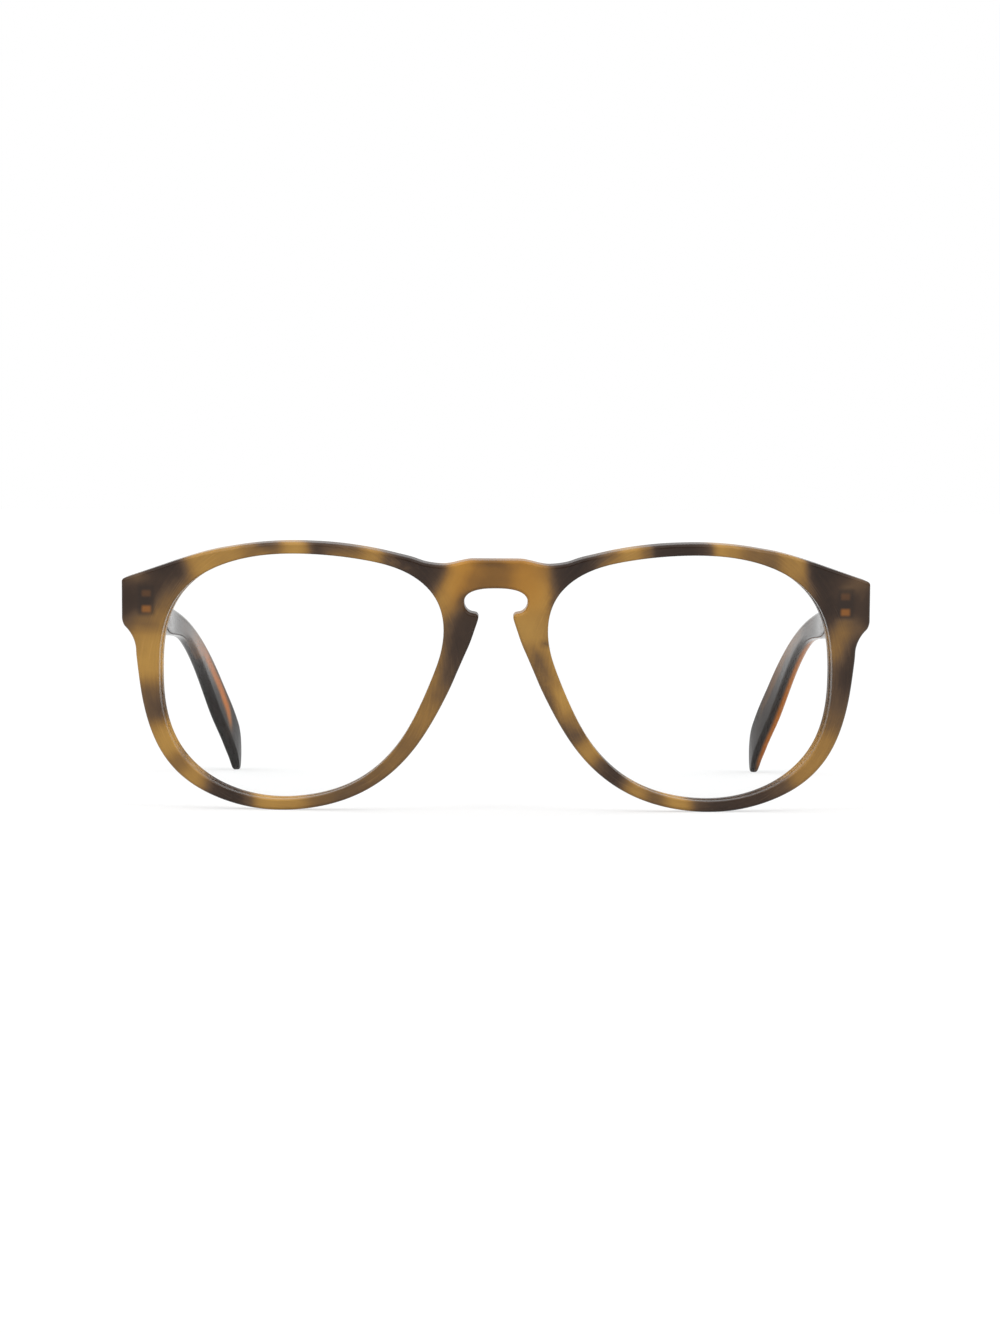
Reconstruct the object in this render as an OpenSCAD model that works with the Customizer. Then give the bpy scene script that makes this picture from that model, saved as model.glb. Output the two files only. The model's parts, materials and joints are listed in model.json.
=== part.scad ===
// Panto eyeglasses with a keyhole bridge, five-knuckle hinges and wire-core temples.
// Millimetres. The lenses face -Y, the temples run to +Y and +Z is up. The wearer's left is at +X.
// The glasses stand on their rims and temple tips, as they do on a table.
// Each piece is drawn upright in the front's own frame and leaned with stand() at the end.

/* [Lenses] */
// Width of a lens opening
lens_w = 54.6; // [50:0.1:58]
// Height of a lens opening
lens_h = 47.6; // [44:0.1:51]
// Gap between the two lens openings across the nose
nose_gap = 19.9; // [18:0.1:23]
// Thickness of a lens at its rim
lens_t = 1.2; // [1:0.1:1.5]
// How far the middle of a lens bulges forward
lens_bulge = 1.8; // [1:0.1:2.5]
// Depth of the groove that holds a lens
groove_d = 0.6; // [0.5:0.05:0.7]
// Clearance between a lens and its groove
lens_clear = 0.08; // [0.05:0.01:0.12]

/* [Front] */
// Thickness of the acetate front
front_t = 4; // [3.6:0.1:4.6]
// Radius of the front's wrap, seen from above
wrap_r = 310; // [260:5:450]
// Rim width above the lens
rim_top = 2.15; // [2:0.05:3.5]
// Rim width below the lens
rim_bottom = 2.15; // [1.8:0.05:3]
// Rim width beside the lens, toward the temple
rim_side = 3.9; // [3:0.1:4.6]
// Rim width beside the lens, toward the nose
rim_nose = 4.15; // [3.6:0.05:4.8]
// Rounding of the front's outer edges
edge_r = 0.7; // [0.4:0.05:0.8]
// Rounding of the front's edges round the lenses
lip_r = 0.35; // [0.2:0.05:0.45]

/* [Bridge] */
// Height of the bridge's top above the lens centres
bridge_rise = 22.8; // [22:0.1:24]
// Height of the bridge from its top to the keyhole
bridge_h = 5.4; // [4.4:0.1:6.4]
// Half of the bridge's level top
bridge_flat = 4.8; // [4.5:0.1:6.5]
// Distance from the middle to the notch where the bridge meets a rim
notch_x = 10.2; // [9:0.05:10.5]
// Depth of that notch below the bridge's top
notch_drop = 1; // [0.6:0.1:1.6]
// Half width of the keyhole
keyhole_half = 6.05; // [5.6:0.05:6.6]
// Rise of the keyhole's arch above its widest line
keyhole_rise = 2.8; // [2.2:0.05:3]
// Drop from the keyhole's widest line to its lower corners
keyhole_drop = 2.0; // [1.8:0.05:2.6]
// Half of the gap between the keyhole's lower corners
nose_half = 3.3; // [3:0.05:4]
// Rounding of the keyhole's lower corners
nose_corner_r = 0.8; // [0.7:0.05:1]

/* [End pieces] */
// Reach of an end piece past the lens opening
end_reach = 7.25; // [6.8:0.05:8.5]
// Height of an end piece
end_h = 8.8; // [7.6:0.1:9.4]
// Height of an end piece's middle above the lens centres
end_rise = 13.5; // [12.6:0.1:14.6]
// Rounding of an end piece's corners
end_corner_r = 0.8; // [0.75:0.05:1.2]
// Rise of an end piece's top edge for each millimetre toward the rim
end_slope = 0.37; // [0.3:0.01:0.42]

/* [Nose pads] */
// Height of a nose pad behind the front
pad_h = 4.6; // [3.5:0.1:6]
// Width of a nose pad where it is cemented on
pad_w = 3.1; // [2.6:0.1:3.6]
// How far a nose pad's crest leans away from the nose
pad_splay = 1.1; // [0.6:0.1:1.6]
// Thickness of the cement under a nose pad
cement_t = 0.03; // [0.02:0.01:0.05]

/* [Hinges] */
// Radius of the hinge knuckles
knuckle_r = 1.5; // [1.35:0.05:1.6]
// Height of the whole stack of knuckles
hinge_h = 5.85; // [5.4:0.05:6.2]
// Gap between two knuckles
knuckle_gap = 0.05; // [0.03:0.01:0.08]
// Clearance between the knuckles and the front's back face
knuckle_clear = 0.12; // [0.1:0.01:0.2]
// Radius of the hinge screw's shank
screw_r = 0.6; // [0.5:0.05:0.7]
// Clearance between the screw and its bore
screw_clear = 0.05; // [0.03:0.01:0.08]
// Radius of the hinge screw's head
head_r = 1.05; // [0.95:0.01:1.1]
// Height of the hinge screw's head
head_h = 0.45; // [0.35:0.05:0.6]
// Width of the anchor sunk into an end piece
anchor_w = 3.4; // [3:0.1:3.6]
// Depth of that anchor behind the back face
anchor_d = 2.4; // [2:0.1:2.8]
// Length of the hinge plate on a temple
plate_l = 11; // [9:0.5:13]
// Thickness of the hinge plate on a temple
plate_t = 0.85; // [0.7:0.05:1]
// Clearance round the metal that is sunk into the acetate
sunk_clear = 0.05; // [0.03:0.01:0.08]

/* [Temples] */
// Thickness of a temple at the hinge
temple_t = 4; // [3.7:0.1:4.3]
// Depth of a temple from the hinge to the scoop
temple_deep = 8; // [7.4:0.1:8.6]
// Depth of a temple just past the scoop
temple_waist = 5.6; // [5.2:0.1:6.4]
// Depth of a temple at its neck, before the ear
temple_neck = 4.2; // [3.8:0.1:5]
// Depth of a temple's ear piece near its tip
temple_ear = 8.9; // [7:0.1:9.4]
// Thickness of a temple at the ear
ear_t = 2.6; // [2.4:0.1:3.4]
// Length of a temple from the hinge to where it is scooped out below
scoop_l = 48.5; // [44:0.5:53]
// Straight length of a temple's top edge, from the hinge to the ear bend
straight_l = 69.5; // [64:0.5:75]
// Radius of the ear bend along the top edge
bend_r = 108.5; // [90:0.5:120]
// Angle of the ear bend
bend_a = 32.5; // [28:0.5:35]
// Length of the ear piece past the bend
ear_l = 12.5; // [10:0.5:18]
// Slope of the temples below the front's own normal
panto_a = 13.8; // [12:0.1:14.5]
// Gap between a temple's end and its end piece
butt_gap = 0.15; // [0.1:0.01:0.2]
// How far a temple tip curves in toward the head
tip_in = 11.2; // [9:0.1:15]

/* [Core wires] */
// Thickness of a core wire
wire_t = 1.2; // [1:0.05:1.4]
// Depth of a core wire
wire_h = 2.4; // [2:0.1:2.8]
// Acetate left past the end of a core wire
wire_end = 12; // [10:1:20]

/* [Hidden] */
$fn = 48;

// Colours
tortoise = [0.34, 0.22, 0.12];
dark_tortoise = [0.22, 0.15, 0.10];
metal = [0.75, 0.75, 0.76];
clear_lens = [0.85, 0.90, 0.92, 0.35];

// General functions

// A rise from 0 to 1 with level ends
function ease(u) = let (c = max(0, min(1, u))) c * c * (3 - 2 * c);

// The slope of a list of [place, value] knots at knot j
function knot_slope(k, j) =
    let (a = max(0, j - 1), b = min(len(k) - 1, j + 1))
    (k[b][1] - k[a][1]) / (k[b][0] - k[a][0]);

// A smooth curve through a list of [place, value] knots
function through(k, x) =
    let (
        j = max([for (i = [0:len(k) - 2]) if (i == 0 || k[i][0] <= x) i]),
        w = k[j + 1][0] - k[j][0],
        u = max(0, min(1, (x - k[j][0]) / w)),
        m0 = knot_slope(k, j) * w,
        m1 = knot_slope(k, j + 1) * w
    )
    (1 + 2 * u) * (1 - u) * (1 - u) * k[j][1] + u * (1 - u) * (1 - u) * m0
        + u * u * (3 - 2 * u) * k[j + 1][1] + u * u * (u - 1) * m1;

// The unit vector to the left of the way from a to b
function left_of(a, b) = let (d = b - a, l = norm(d)) [-d.y / l, d.x / l];

// Two triangles for the quad a b c d, or its back when flip is true
function quad(a, b, c, d, flip) = flip ? [[a, d, c], [a, c, b]] : [[a, b, c], [a, c, d]];

// The lens outline

// Radii of the panto lens shape each 30 degrees, from the temple side upward and round
LENS_SHAPE = [27.23, 27.84, 25.31, 23.61, 25.99, 30.06, 25.18, 22.78, 22.88, 23.73, 26.19, 28.09];

// Control values of a closed cubic spline that passes through the values p
function spline_ctl(p, c, n) =
    n == 0 ? c
    : let (m = len(p))
      spline_ctl(p, [for (i = [0:m - 1]) (6 * p[i] - c[(i + m - 1) % m] - c[(i + 1) % m]) / 4], n - 1);
LENS_CTL = spline_ctl(LENS_SHAPE, LENS_SHAPE, 24);

// The shape's radius at angle a
function shape_r(a) =
    let (
        m = len(LENS_CTL),
        t = (a - 360 * floor(a / 360)) * m / 360,
        i = floor(t),
        u = t - i,
        c = [for (k = [-1:2]) LENS_CTL[(i + k + m) % m]]
    )
    (pow(1 - u, 3) * c[0] + (3 * pow(u, 3) - 6 * u * u + 4) * c[1]
        + (3 * u + 3 * u * u - 3 * pow(u, 3) + 1) * c[2] + pow(u, 3) * c[3]) / 6;

shape_x = [for (a = [0:2:358]) shape_r(a) * cos(a)];
shape_y = [for (a = [0:2:358]) shape_r(a) * sin(a)];
shape_kx = lens_w / (max(shape_x) - min(shape_x));
shape_ky = lens_h / (max(shape_y) - min(shape_y));

// The centre of the wearer's left lens, with the rim's lowest point at height 0
lens_cx = nose_gap / 2 - shape_kx * min(shape_x);
lens_cy = rim_bottom - shape_ky * min(shape_y);

// The lens opening's edge at shape angle a, and the shape angle of a point
function opening_pt(a) =
    [lens_cx + shape_kx * shape_r(a) * cos(a), lens_cy + shape_ky * shape_r(a) * sin(a)];
function shape_angle(p) = atan2((p.y - lens_cy) / shape_ky, (p.x - lens_cx) / shape_kx);

// The direction from the opening's edge into the acetate at shape angle a
function opening_out(a) = -left_of(opening_pt(a - 1), opening_pt(a + 1));

// The rim's width at shape angle a: below the lens, from the nose round to the temple side
RIM_LOW = [
    [161, 1.64 * rim_nose], [173, 1.15 * rim_nose], [183, rim_nose], [199, 0.83 * rim_nose],
    [220, 1.32 * rim_bottom], [245, 1.08 * rim_bottom], [275, rim_bottom], [300, 1.09 * rim_bottom],
    [320, 0.74 * rim_side], [341, 0.83 * rim_side], [357, 1.01 * rim_side], [366, 1.18 * rim_side]
];
// and above it, from the end piece round to the bridge
RIM_HIGH = [
    [50, 1.76 * rim_top], [60, 1.31 * rim_top], [72, 1.09 * rim_top], [89, 1.02 * rim_top],
    [106, 1.06 * rim_top], [117, 1.1 * rim_top], [128, 1.2 * rim_top], [134, 1.46 * rim_top],
    [137.5, 1.66 * rim_top]
];

// A point of the rim's outer edge at shape angle a
function rim_pt(knots, a) =
    let (p = opening_pt(a), d = p - [lens_cx, lens_cy])
    p + d / norm(d) * through(knots, a);

// The front's outline, all in the upright plane of the wearer's left half

bridge_y = lens_cy + bridge_rise;
keyhole_y = bridge_y - bridge_h - keyhole_rise;
nose_corner = [nose_half + nose_corner_r, keyhole_y - keyhole_drop - nose_corner_r];
end_x = lens_cx + shape_kx * max(shape_x) + end_reach;
end_y = lens_cy + end_rise;
end_foot = rim_pt(RIM_LOW, 366);
end_low = end_y - end_h / 2;
end_high = end_y + end_h / 2;
end_turn = atan(1 / end_slope);
end_arc = [end_x - end_corner_r, end_high - end_corner_r];
end_shoulder = end_arc + end_corner_r * [cos(end_turn), sin(end_turn)];

// How sharply the end piece's foot curves out, and where its straight side starts above the foot
foot_pow = 2.4;
foot_gap = 0.9;

// Columns of the bridge, from the rim to the middle, and rows from its top to the keyhole
BRIDGE_COLS = 6;
BRIDGE_ROWS = 4;
function bridge_top_pt(c) =
    let (x = notch_x * (1 - c / BRIDGE_COLS))
    [x, bridge_y - notch_drop * ease((x - bridge_flat * 0.9) / (notch_x - bridge_flat * 0.9))];
// The keyhole's arch is a superellipse, a little flatter on top than an ellipse
keyhole_pow = 2.5;
function keyhole_pt(c) =
    let (a = 90 * c / BRIDGE_COLS)
    [keyhole_half * pow(cos(a), 2 / keyhole_pow), keyhole_y + keyhole_rise * pow(sin(a), 2 / keyhole_pow)];
function bridge_pt(c, j) =
    bridge_top_pt(c) + (keyhole_pt(c) - bridge_top_pt(c)) * j / BRIDGE_ROWS;

// The keyhole's side and lower corner
KEYHOLE_SIDE = [
    for (a = [0:-22.5:-67.5])
        [nose_corner.x + (keyhole_half - nose_corner.x) * cos(a), keyhole_y + keyhole_drop * sin(a)]
];
NOSE_CORNER = [for (a = [90:27.5:200]) nose_corner + nose_corner_r * [cos(a), sin(a)]];
// The nose edge, the lower rim and the temple side
LOW_EDGE = [for (a = [164, 168, 172.5, 177.5, each [183:5.72:366.5]]) rim_pt(RIM_LOW, a)];
// The end piece: its concave foot, its side, its top corner and its sloping top
END_EDGE = [
    for (u = [0.2, 0.38, 0.54, 0.69, 0.82, 0.93])
        end_foot + [(end_x - end_foot.x) * pow(u, foot_pow), (end_low - end_foot.y) * u],
    [end_x, end_low + foot_gap],
    [end_x, end_y],
    for (a = [0:end_turn / 3:end_turn + 0.1]) end_arc + end_corner_r * [cos(a), sin(a)],
    for (d = [3.5, 7, 10]) end_shoulder + d * [-1, end_slope]
];
HIGH_EDGE = [for (a = [50:5.5:133]) rim_pt(RIM_HIGH, a)];
NOTCH_EDGE = [rim_pt(RIM_HIGH, 137), bridge_top_pt(0)];
// Inside the bridge the ring of the rim follows the bridge's first column
ROOT_EDGE = [for (j = [1:BRIDGE_ROWS - 1]) bridge_pt(0, j)];

WALL_EDGE = concat(KEYHOLE_SIDE, NOSE_CORNER, LOW_EDGE, END_EDGE, HIGH_EDGE, NOTCH_EDGE);
RING = concat(WALL_EDGE, ROOT_EDGE);
n_wall = len(WALL_EDGE);
n_ring = len(RING);
RING_A = [for (p = RING) shape_angle(p)];

// Directions from the outer edge into the acetate
EDGE_PATH = concat(
    [for (c = [BRIDGE_COLS:-1:1]) keyhole_pt(c)], WALL_EDGE, [for (c = [1:BRIDGE_COLS]) bridge_top_pt(c)]
);
function edge_in(i) =
    i == 0 ? [0, 1]
    : i == len(EDGE_PATH) - 1 ? [0, -1]
    : left_of(EDGE_PATH[i - 1], EDGE_PATH[i + 1]);

// The front's wrap: x along it, v up, w back from its front face
function wrap(p, w) =
    [(wrap_r - w) * p.x / wrap_r, wrap_r - (wrap_r - w) * sqrt(1 - pow(p.x / wrap_r, 2)), p.y];

// Sections of the front as [distance into the acetate, depth]
groove_w = front_t / 2;
groove_half = lens_t / 2;
OUT_SECTION = [
    for (a = [0:30:90]) [edge_r * (1 - sin(a)), front_t - edge_r * (1 - cos(a))],
    for (a = [90:-30:0]) [edge_r * (1 - sin(a)), edge_r * (1 - cos(a))]
];
IN_SECTION = [
    for (a = [0:45:90]) [lip_r * (1 - sin(a)), lip_r * (1 - cos(a))],
    [0, groove_w - groove_half], [groove_d, groove_w], [0, groove_w + groove_half],
    for (a = [90:-45:0]) [lip_r * (1 - sin(a)), front_t - lip_r * (1 - cos(a))]
];
n_out = len(OUT_SECTION);
n_in = len(IN_SECTION);
n_row = n_in + n_out;

// A row of the outer edge's section at place i of EDGE_PATH
function out_pts(i) = [for (s = OUT_SECTION) wrap(EDGE_PATH[i] + s[0] * edge_in(i), s[1])];
function in_pts(a) = [for (s = IN_SECTION) wrap(opening_pt(a) + s[0] * opening_out(a), s[1])];
// A place inside the bridge needs only its back and front points, in the first and last rows
function root_pts(p) = [for (r = [0:n_out - 1]) wrap(p, r < n_out / 2 ? front_t : 0)];

// Points of the whole front: the bridge's columns from the middle outward, then the ring's stations
n_col = 2 * n_out + 2 * (BRIDGE_ROWS - 1);
function column_pts(c) = concat(
    out_pts(len(EDGE_PATH) - 1 - BRIDGE_COLS + c),
    [for (j = [1:BRIDGE_ROWS - 1]) each [wrap(bridge_pt(c, j), front_t), wrap(bridge_pt(c, j), 0)]],
    out_pts(BRIDGE_COLS - c)
);
function station_pts(i) =
    concat(in_pts(RING_A[i]), i < n_wall ? out_pts(BRIDGE_COLS + i) : root_pts(RING[i]));
HALF_PTS = [
    for (c = [BRIDGE_COLS:-1:1]) each column_pts(c),
    for (i = [0:n_ring - 1]) each station_pts(i)
];
n_half = len(HALF_PTS);

// The index of half h's point q: both halves share the middle column
function half_ix(h, q) = q < n_col || h == 0 ? q : q + n_half - n_col;
FRONT_PTS = concat(
    HALF_PTS,
    [for (q = [n_col:n_half - 1]) [-HALF_PTS[q].x, HALF_PTS[q].y, HALF_PTS[q].z]]
);

// The index of row k of ring station i
function ring_q(i, k) = n_col * BRIDGE_COLS + (i % n_ring) * n_row + k % n_row;
// The index of section row r of bridge column c, bridge row j
function bridge_q(c, j, r) =
    c == 0 ? ring_q(n_wall - 1 + j, n_in + r)
    : n_col * (BRIDGE_COLS - c)
        + (j == 0 ? r : j == BRIDGE_ROWS ? n_col - n_out + r : n_out + 2 * (j - 1) + (r == 0 ? 0 : 1));

HALF_FACES = [
    for (i = [0:n_ring - 1], k = [0:n_row - 1])
        if (i < n_wall - 1 || k < n_in || k == n_row - 1)
            [ring_q(i, k), ring_q(i, k + 1), ring_q(i + 1, k + 1), ring_q(i + 1, k)],
    for (c = [0:BRIDGE_COLS - 1], r = [0:n_out - 2]) each [
        [bridge_q(c, 0, r), bridge_q(c, 0, r + 1), bridge_q(c + 1, 0, r + 1), bridge_q(c + 1, 0, r)],
        [
            bridge_q(c + 1, BRIDGE_ROWS, r), bridge_q(c + 1, BRIDGE_ROWS, r + 1),
            bridge_q(c, BRIDGE_ROWS, r + 1), bridge_q(c, BRIDGE_ROWS, r)
        ]
    ],
    for (c = [0:BRIDGE_COLS - 1], j = [0:BRIDGE_ROWS - 1]) each [
        [
            bridge_q(c, j, n_out - 1), bridge_q(c, j + 1, n_out - 1),
            bridge_q(c + 1, j + 1, n_out - 1), bridge_q(c + 1, j, n_out - 1)
        ],
        [bridge_q(c, j, 0), bridge_q(c + 1, j, 0), bridge_q(c + 1, j + 1, 0), bridge_q(c, j + 1, 0)]
    ]
];
FRONT_FACES = [
    for (h = [0, 1], f = HALF_FACES)
        each quad(half_ix(h, f[0]), half_ix(h, f[1]), half_ix(h, f[2]), half_ix(h, f[3]), h == 1)
];

// The hinges, on the wearer's left

// Back face of the end pieces at distance x from the middle
function back_y(x) = wrap_r - sqrt(pow(wrap_r - front_t, 2) - x * x);
// The temple's outer face lies this far inside the end piece's, and its top this far below
side_step = 0.1;
top_step = 0.15;
temple_out_x = end_x * (wrap_r - front_t) / wrap_r - side_step;
temple_in_x = temple_out_x - temple_t;
// Gap between the knuckles and the temple's inner face
leaf_gap = 0.3;
axis_x = temple_in_x - leaf_gap - knuckle_r;
axis_w = front_t + knuckle_clear + knuckle_r;
axis_a = asin(axis_x / (wrap_r - axis_w));
axis_y = wrap_r - (wrap_r - axis_w) * cos(axis_a);
knuckle_h = (hinge_h - 4 * knuckle_gap) / 5;
bore_r = screw_r + screw_clear;
// The screw's lower end stops this far inside the lowest knuckle, and its slot has this width
screw_inset = 0.1;
slot_w = 0.3;
// The anchor starts this far outward from the hinge's axis
anchor_x = 0.1;
// Its two windows, and the distance between their middles
window_w = 2;
window_h = 1.5;
window_pitch = 2.9;
// Widths of the leaves that join the knuckles to the anchor and to the plate
front_leaf_w = 1.4;
temple_leaf_w = 2.4;
// How far a leaf runs into the metal it joins
leaf_root = 0.4;
// Inset of the anchor's face from the front's back face
anchor_inset = 0.05;
// Start of the plate along the temple, measured back from the hinge's axis
plate_start = -1;
// Length of the plate's square end, and the place where its top starts to taper
plate_square_low = 1.2;
plate_square_high = 2.4;

// Places a hinge piece at the hinge's axis, turned with the front's wrap
module at_hinge(turned = true) {
    translate([axis_x, axis_y, end_y]) rotate([0, 0, turned ? axis_a : 0]) children();
}

// The anchor's block, grown by g, with its two windows shrunk by g and clear of the leaves' roots
module anchor_block(g) {
    back = front_t - axis_w - anchor_inset;
    past = 1;
    window_d = anchor_d + past + (g > 0 ? anchor_inset - leaf_root - g : past);
    difference() {
        translate([anchor_x - g, back - anchor_d - g, -hinge_h / 2 - g])
            cube([anchor_w + 2 * g, anchor_d + (g > 0 ? past : 0) + g, hinge_h + 2 * g]);
        for (z = [-window_pitch / 2, window_pitch / 2])
            translate([
                anchor_x + (anchor_w - window_w) / 2 + g, back - anchor_d - past, z - window_h / 2 + g
            ])
                cube([window_w - 2 * g, window_d, window_h - 2 * g]);
    }
}

// Knuckle number i of the stack, counted from the bottom, and the height it starts at
function knuckle_z(i) = -hinge_h / 2 + i * (knuckle_h + knuckle_gap);
module knuckle(i) {
    translate([0, 0, knuckle_z(i)]) cylinder(r = knuckle_r, h = knuckle_h);
}

// The screw's bore and the counterbore of its head
module hinge_bore() {
    translate([0, 0, -hinge_h]) cylinder(r = bore_r, h = 2 * hinge_h);
    translate([0, 0, hinge_h / 2 - head_h - screw_clear]) cylinder(r = head_r + screw_clear, h = 1);
}

// The plate on the temple, grown by g, as an outline in the plane of its inner face
module plate_outline(g) {
    drop = plate_l * tan(panto_a);
    far = plate_start + plate_l + g;
    polygon([
        [plate_start - g, -hinge_h / 2 - g],
        [plate_start + plate_square_low, -hinge_h / 2 - g],
        [far, -drop - hinge_h / 3 - g],
        [far, -drop + hinge_h / 3 + g],
        [plate_start + plate_square_high, hinge_h / 2 + g],
        [plate_start - g, hinge_h / 2 + g]
    ]);
}

// The plate as a solid of thickness t from depth x0 behind the temple's inner face
module plate_solid(g, x0, t) {
    translate([temple_in_x - axis_x + x0, 0, 0])
        rotate([90, 0, 90]) linear_extrude(height = t) plate_outline(g);
}

// The temples, on the wearer's left

temple_y = back_y(temple_in_x + temple_t / 2) + butt_gap;
temple_top = end_high - top_step;
bend_l = bend_r * bend_a * PI / 180;
temple_l = straight_l + bend_l + ear_l;
// Length of the tip's rounding
tip_r = 4;

// The top edge at length s as [y, v, slope]
function top_edge(s) =
    let (
        a = panto_a + max(0, min(bend_l, s - straight_l)) / bend_r * 180 / PI,
        s0 = min(s, straight_l),
        s1 = max(0, s - straight_l - bend_l)
    )
    [
        temple_y + s0 * cos(panto_a) + bend_r * (sin(a) - sin(panto_a)) + s1 * cos(a),
        temple_top - s0 * sin(panto_a) - bend_r * (cos(panto_a) - cos(a)) - s1 * sin(a),
        a
    ];

// Depth, thickness and place of the inner face at length s
DEPTH = [
    [0, temple_deep - 0.2], [20, temple_deep], [scoop_l - 8, temple_deep],
    [scoop_l - 1.5, temple_deep - 0.3], [scoop_l + 3, temple_waist], [straight_l, temple_waist + 0.1],
    [straight_l + 0.3 * bend_l, temple_neck], [straight_l + 0.8 * bend_l, temple_ear - 0.4],
    [temple_l - tip_r, temple_ear]
];
THICKNESS = [
    [0, temple_t], [30, temple_t], [straight_l, (temple_t + ear_t) / 2],
    [straight_l + 0.5 * bend_l, ear_t], [temple_l - 2.5 * tip_r, ear_t - 0.1], [temple_l, 0.55 * ear_t]
];
INNER_X = [
    [0, temple_in_x], [8, temple_in_x], [16, temple_in_x], [scoop_l, temple_in_x - 0.02 * tip_in],
    [straight_l, temple_in_x - 0.045 * tip_in], [straight_l + 0.28 * bend_l, temple_in_x - 0.26 * tip_in],
    [straight_l + 0.8 * bend_l, temple_in_x - 0.7 * tip_in],
    [temple_l - 2 * tip_r, temple_in_x - 0.965 * tip_in], [temple_l, temple_in_x - tip_in]
];
function yaw(s) = atan((through(INNER_X, s - 1) - through(INNER_X, s + 1)) / 2);

// The point at length s, depth q below the top edge and distance p out from the inner face
function temple_pt(s, q, p) =
    let (e = top_edge(s), b = yaw(s), x = through(INNER_X, s) + p * cos(b))
    [x, e[0] - q * sin(e[2]) + p * sin(b) * cos(e[2]), e[1] - q * cos(e[2]) - p * sin(b) * sin(e[2])];

// The same point slid along the temple onto the mitre that faces the end piece
function mitre_pt(q, p) =
    let (t = temple_pt(0, q, p), d = (back_y(t.x) + butt_gap - t.y) / cos(panto_a))
    t + d * [0, cos(panto_a), -sin(panto_a)];

// How much of the depth is left at length s: the blunt tip is rounded as a superellipse
tip_pow = 2.6;
function tip_share(s) = pow(1 - pow(max(0, (s - temple_l + tip_r) / tip_r), tip_pow), 1 / tip_pow);
function top_q(s) = through(DEPTH, s) * (1 - tip_share(s)) / 2;
function low_q(s) = through(DEPTH, s) * (1 + tip_share(s)) / 2;

// A rounded section between depths q0 and q1 and thickness t, as [depth, distance out]
function temple_section(q0, q1, t) =
    let (r = min(1, 0.35 * t, 0.45 * (q1 - q0)), m = 0.293 * r)
    [
        [q0 + r, 0], [q0 + m, m], [q0, r], [q0, t - r], [q0 + m, t - m], [q0 + r, t],
        [q1 - r, t], [q1 - m, t - m], [q1, t - r], [q1, r], [q1 - m, m], [q1 - r, 0]
    ];
n_sec = 12;

STATIONS = [
    0, 4, 8, 14, 22, 30, each [scoop_l - 10.5:2:scoop_l + 5.5], each [scoop_l + 9:4:temple_l - tip_r - 3],
    for (u = [0, 0.35, 0.62, 0.8, 0.92, 0.98, 0.998]) temple_l - tip_r + u * tip_r
];
n_st = len(STATIONS);

// The wire's middle lies at mid depth and mid thickness
wire_s = temple_l - wire_end;
WIRE_STATIONS = [for (s = STATIONS) if (s < wire_s - 2) s, wire_s];
n_wire = len(WIRE_STATIONS);
function wire_section(s, g) =
    let (
        q = (top_q(s) + low_q(s)) / 2,
        p = 0.52 * through(THICKNESS, s),
        h = wire_h / 2 + g,
        t = wire_t / 2 + g
    )
    [[q - h, p - t], [q - h, p + t], [q + h, p + t], [q + h, p - t]];
function station_pt(s, c) = s == 0 ? mitre_pt(c[0], c[1]) : temple_pt(s, c[0], c[1]);

TEMPLE_PTS = [
    for (s = STATIONS) each [
        for (c = temple_section(top_q(s), low_q(s), through(THICKNESS, s))) station_pt(s, c)
    ],
    for (s = WIRE_STATIONS) each [for (c = wire_section(s, sunk_clear)) station_pt(s, c)]
];
function skin_q(i, k) = n_sec * i + k % n_sec;
function channel_q(i, k) = n_sec * n_st + 4 * i + k % 4;
TEMPLE_FACES = [
    for (i = [0:n_st - 2], k = [0:n_sec - 1])
        each quad(skin_q(i, k), skin_q(i, k + 1), skin_q(i + 1, k + 1), skin_q(i + 1, k), false),
    for (i = [0:n_wire - 2], k = [0:3])
        each quad(channel_q(i, k), channel_q(i, k + 1), channel_q(i + 1, k + 1), channel_q(i + 1, k), true),
    for (k = [0:3]) each [
        [channel_q(0, k), skin_q(0, 3 * k + 1), skin_q(0, 3 * k)],
        [channel_q(0, k), skin_q(0, 3 * k + 2), skin_q(0, 3 * k + 1)],
        [channel_q(0, k), skin_q(0, 3 * k + 3), skin_q(0, 3 * k + 2)],
        [channel_q(0, k), channel_q(0, k + 1), skin_q(0, 3 * k + 3)]
    ],
    [for (k = [0:n_sec - 1]) skin_q(n_st - 1, k)],
    [for (k = [3:-1:0]) channel_q(n_wire - 1, k)]
];

// The stance: leaned until rims and tips share the table, and centred on the origin
function leaned_by(a, p) = [p.x, p.y * cos(a) - p.z * sin(a), p.y * sin(a) + p.z * cos(a)];
function height_by(a, p) = leaned_by(a, p).z;
// The point of the front that rests on the table, at a lean of a
function foot_at(a) =
    let (h = [for (p = HALF_PTS) height_by(a, p)], low = min(h))
    HALF_PTS[[for (i = [0:n_half - 1]) if (h[i] == low) i][0]];
// The lean at which the temples' lowest point is level with the front's point f
function lean_on(f) = max([for (p = TEMPLE_PTS) atan2(f.z - p.z, p.y - f.y)]);
lean_a = lean_on(foot_at(lean_on(foot_at(0))));
function leaned(p) = leaned_by(lean_a, p);
FRONT_LEANED = [for (p = HALF_PTS) leaned(p)];
TEMPLE_LEANED = [for (p = TEMPLE_PTS) leaned(p)];
stand_y = -(min([for (p = FRONT_LEANED) p.y]) + max([for (p = TEMPLE_LEANED) p.y])) / 2;
stand_z = -min([for (p = concat(FRONT_LEANED, TEMPLE_LEANED)) p.z]);

module stand() {
    translate([0, stand_y, stand_z]) rotate([lean_a, 0, 0]) children();
}

// The right side mirrors the left
module side(right) {
    mirror([right ? 1 : 0, 0, 0]) children();
}

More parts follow.
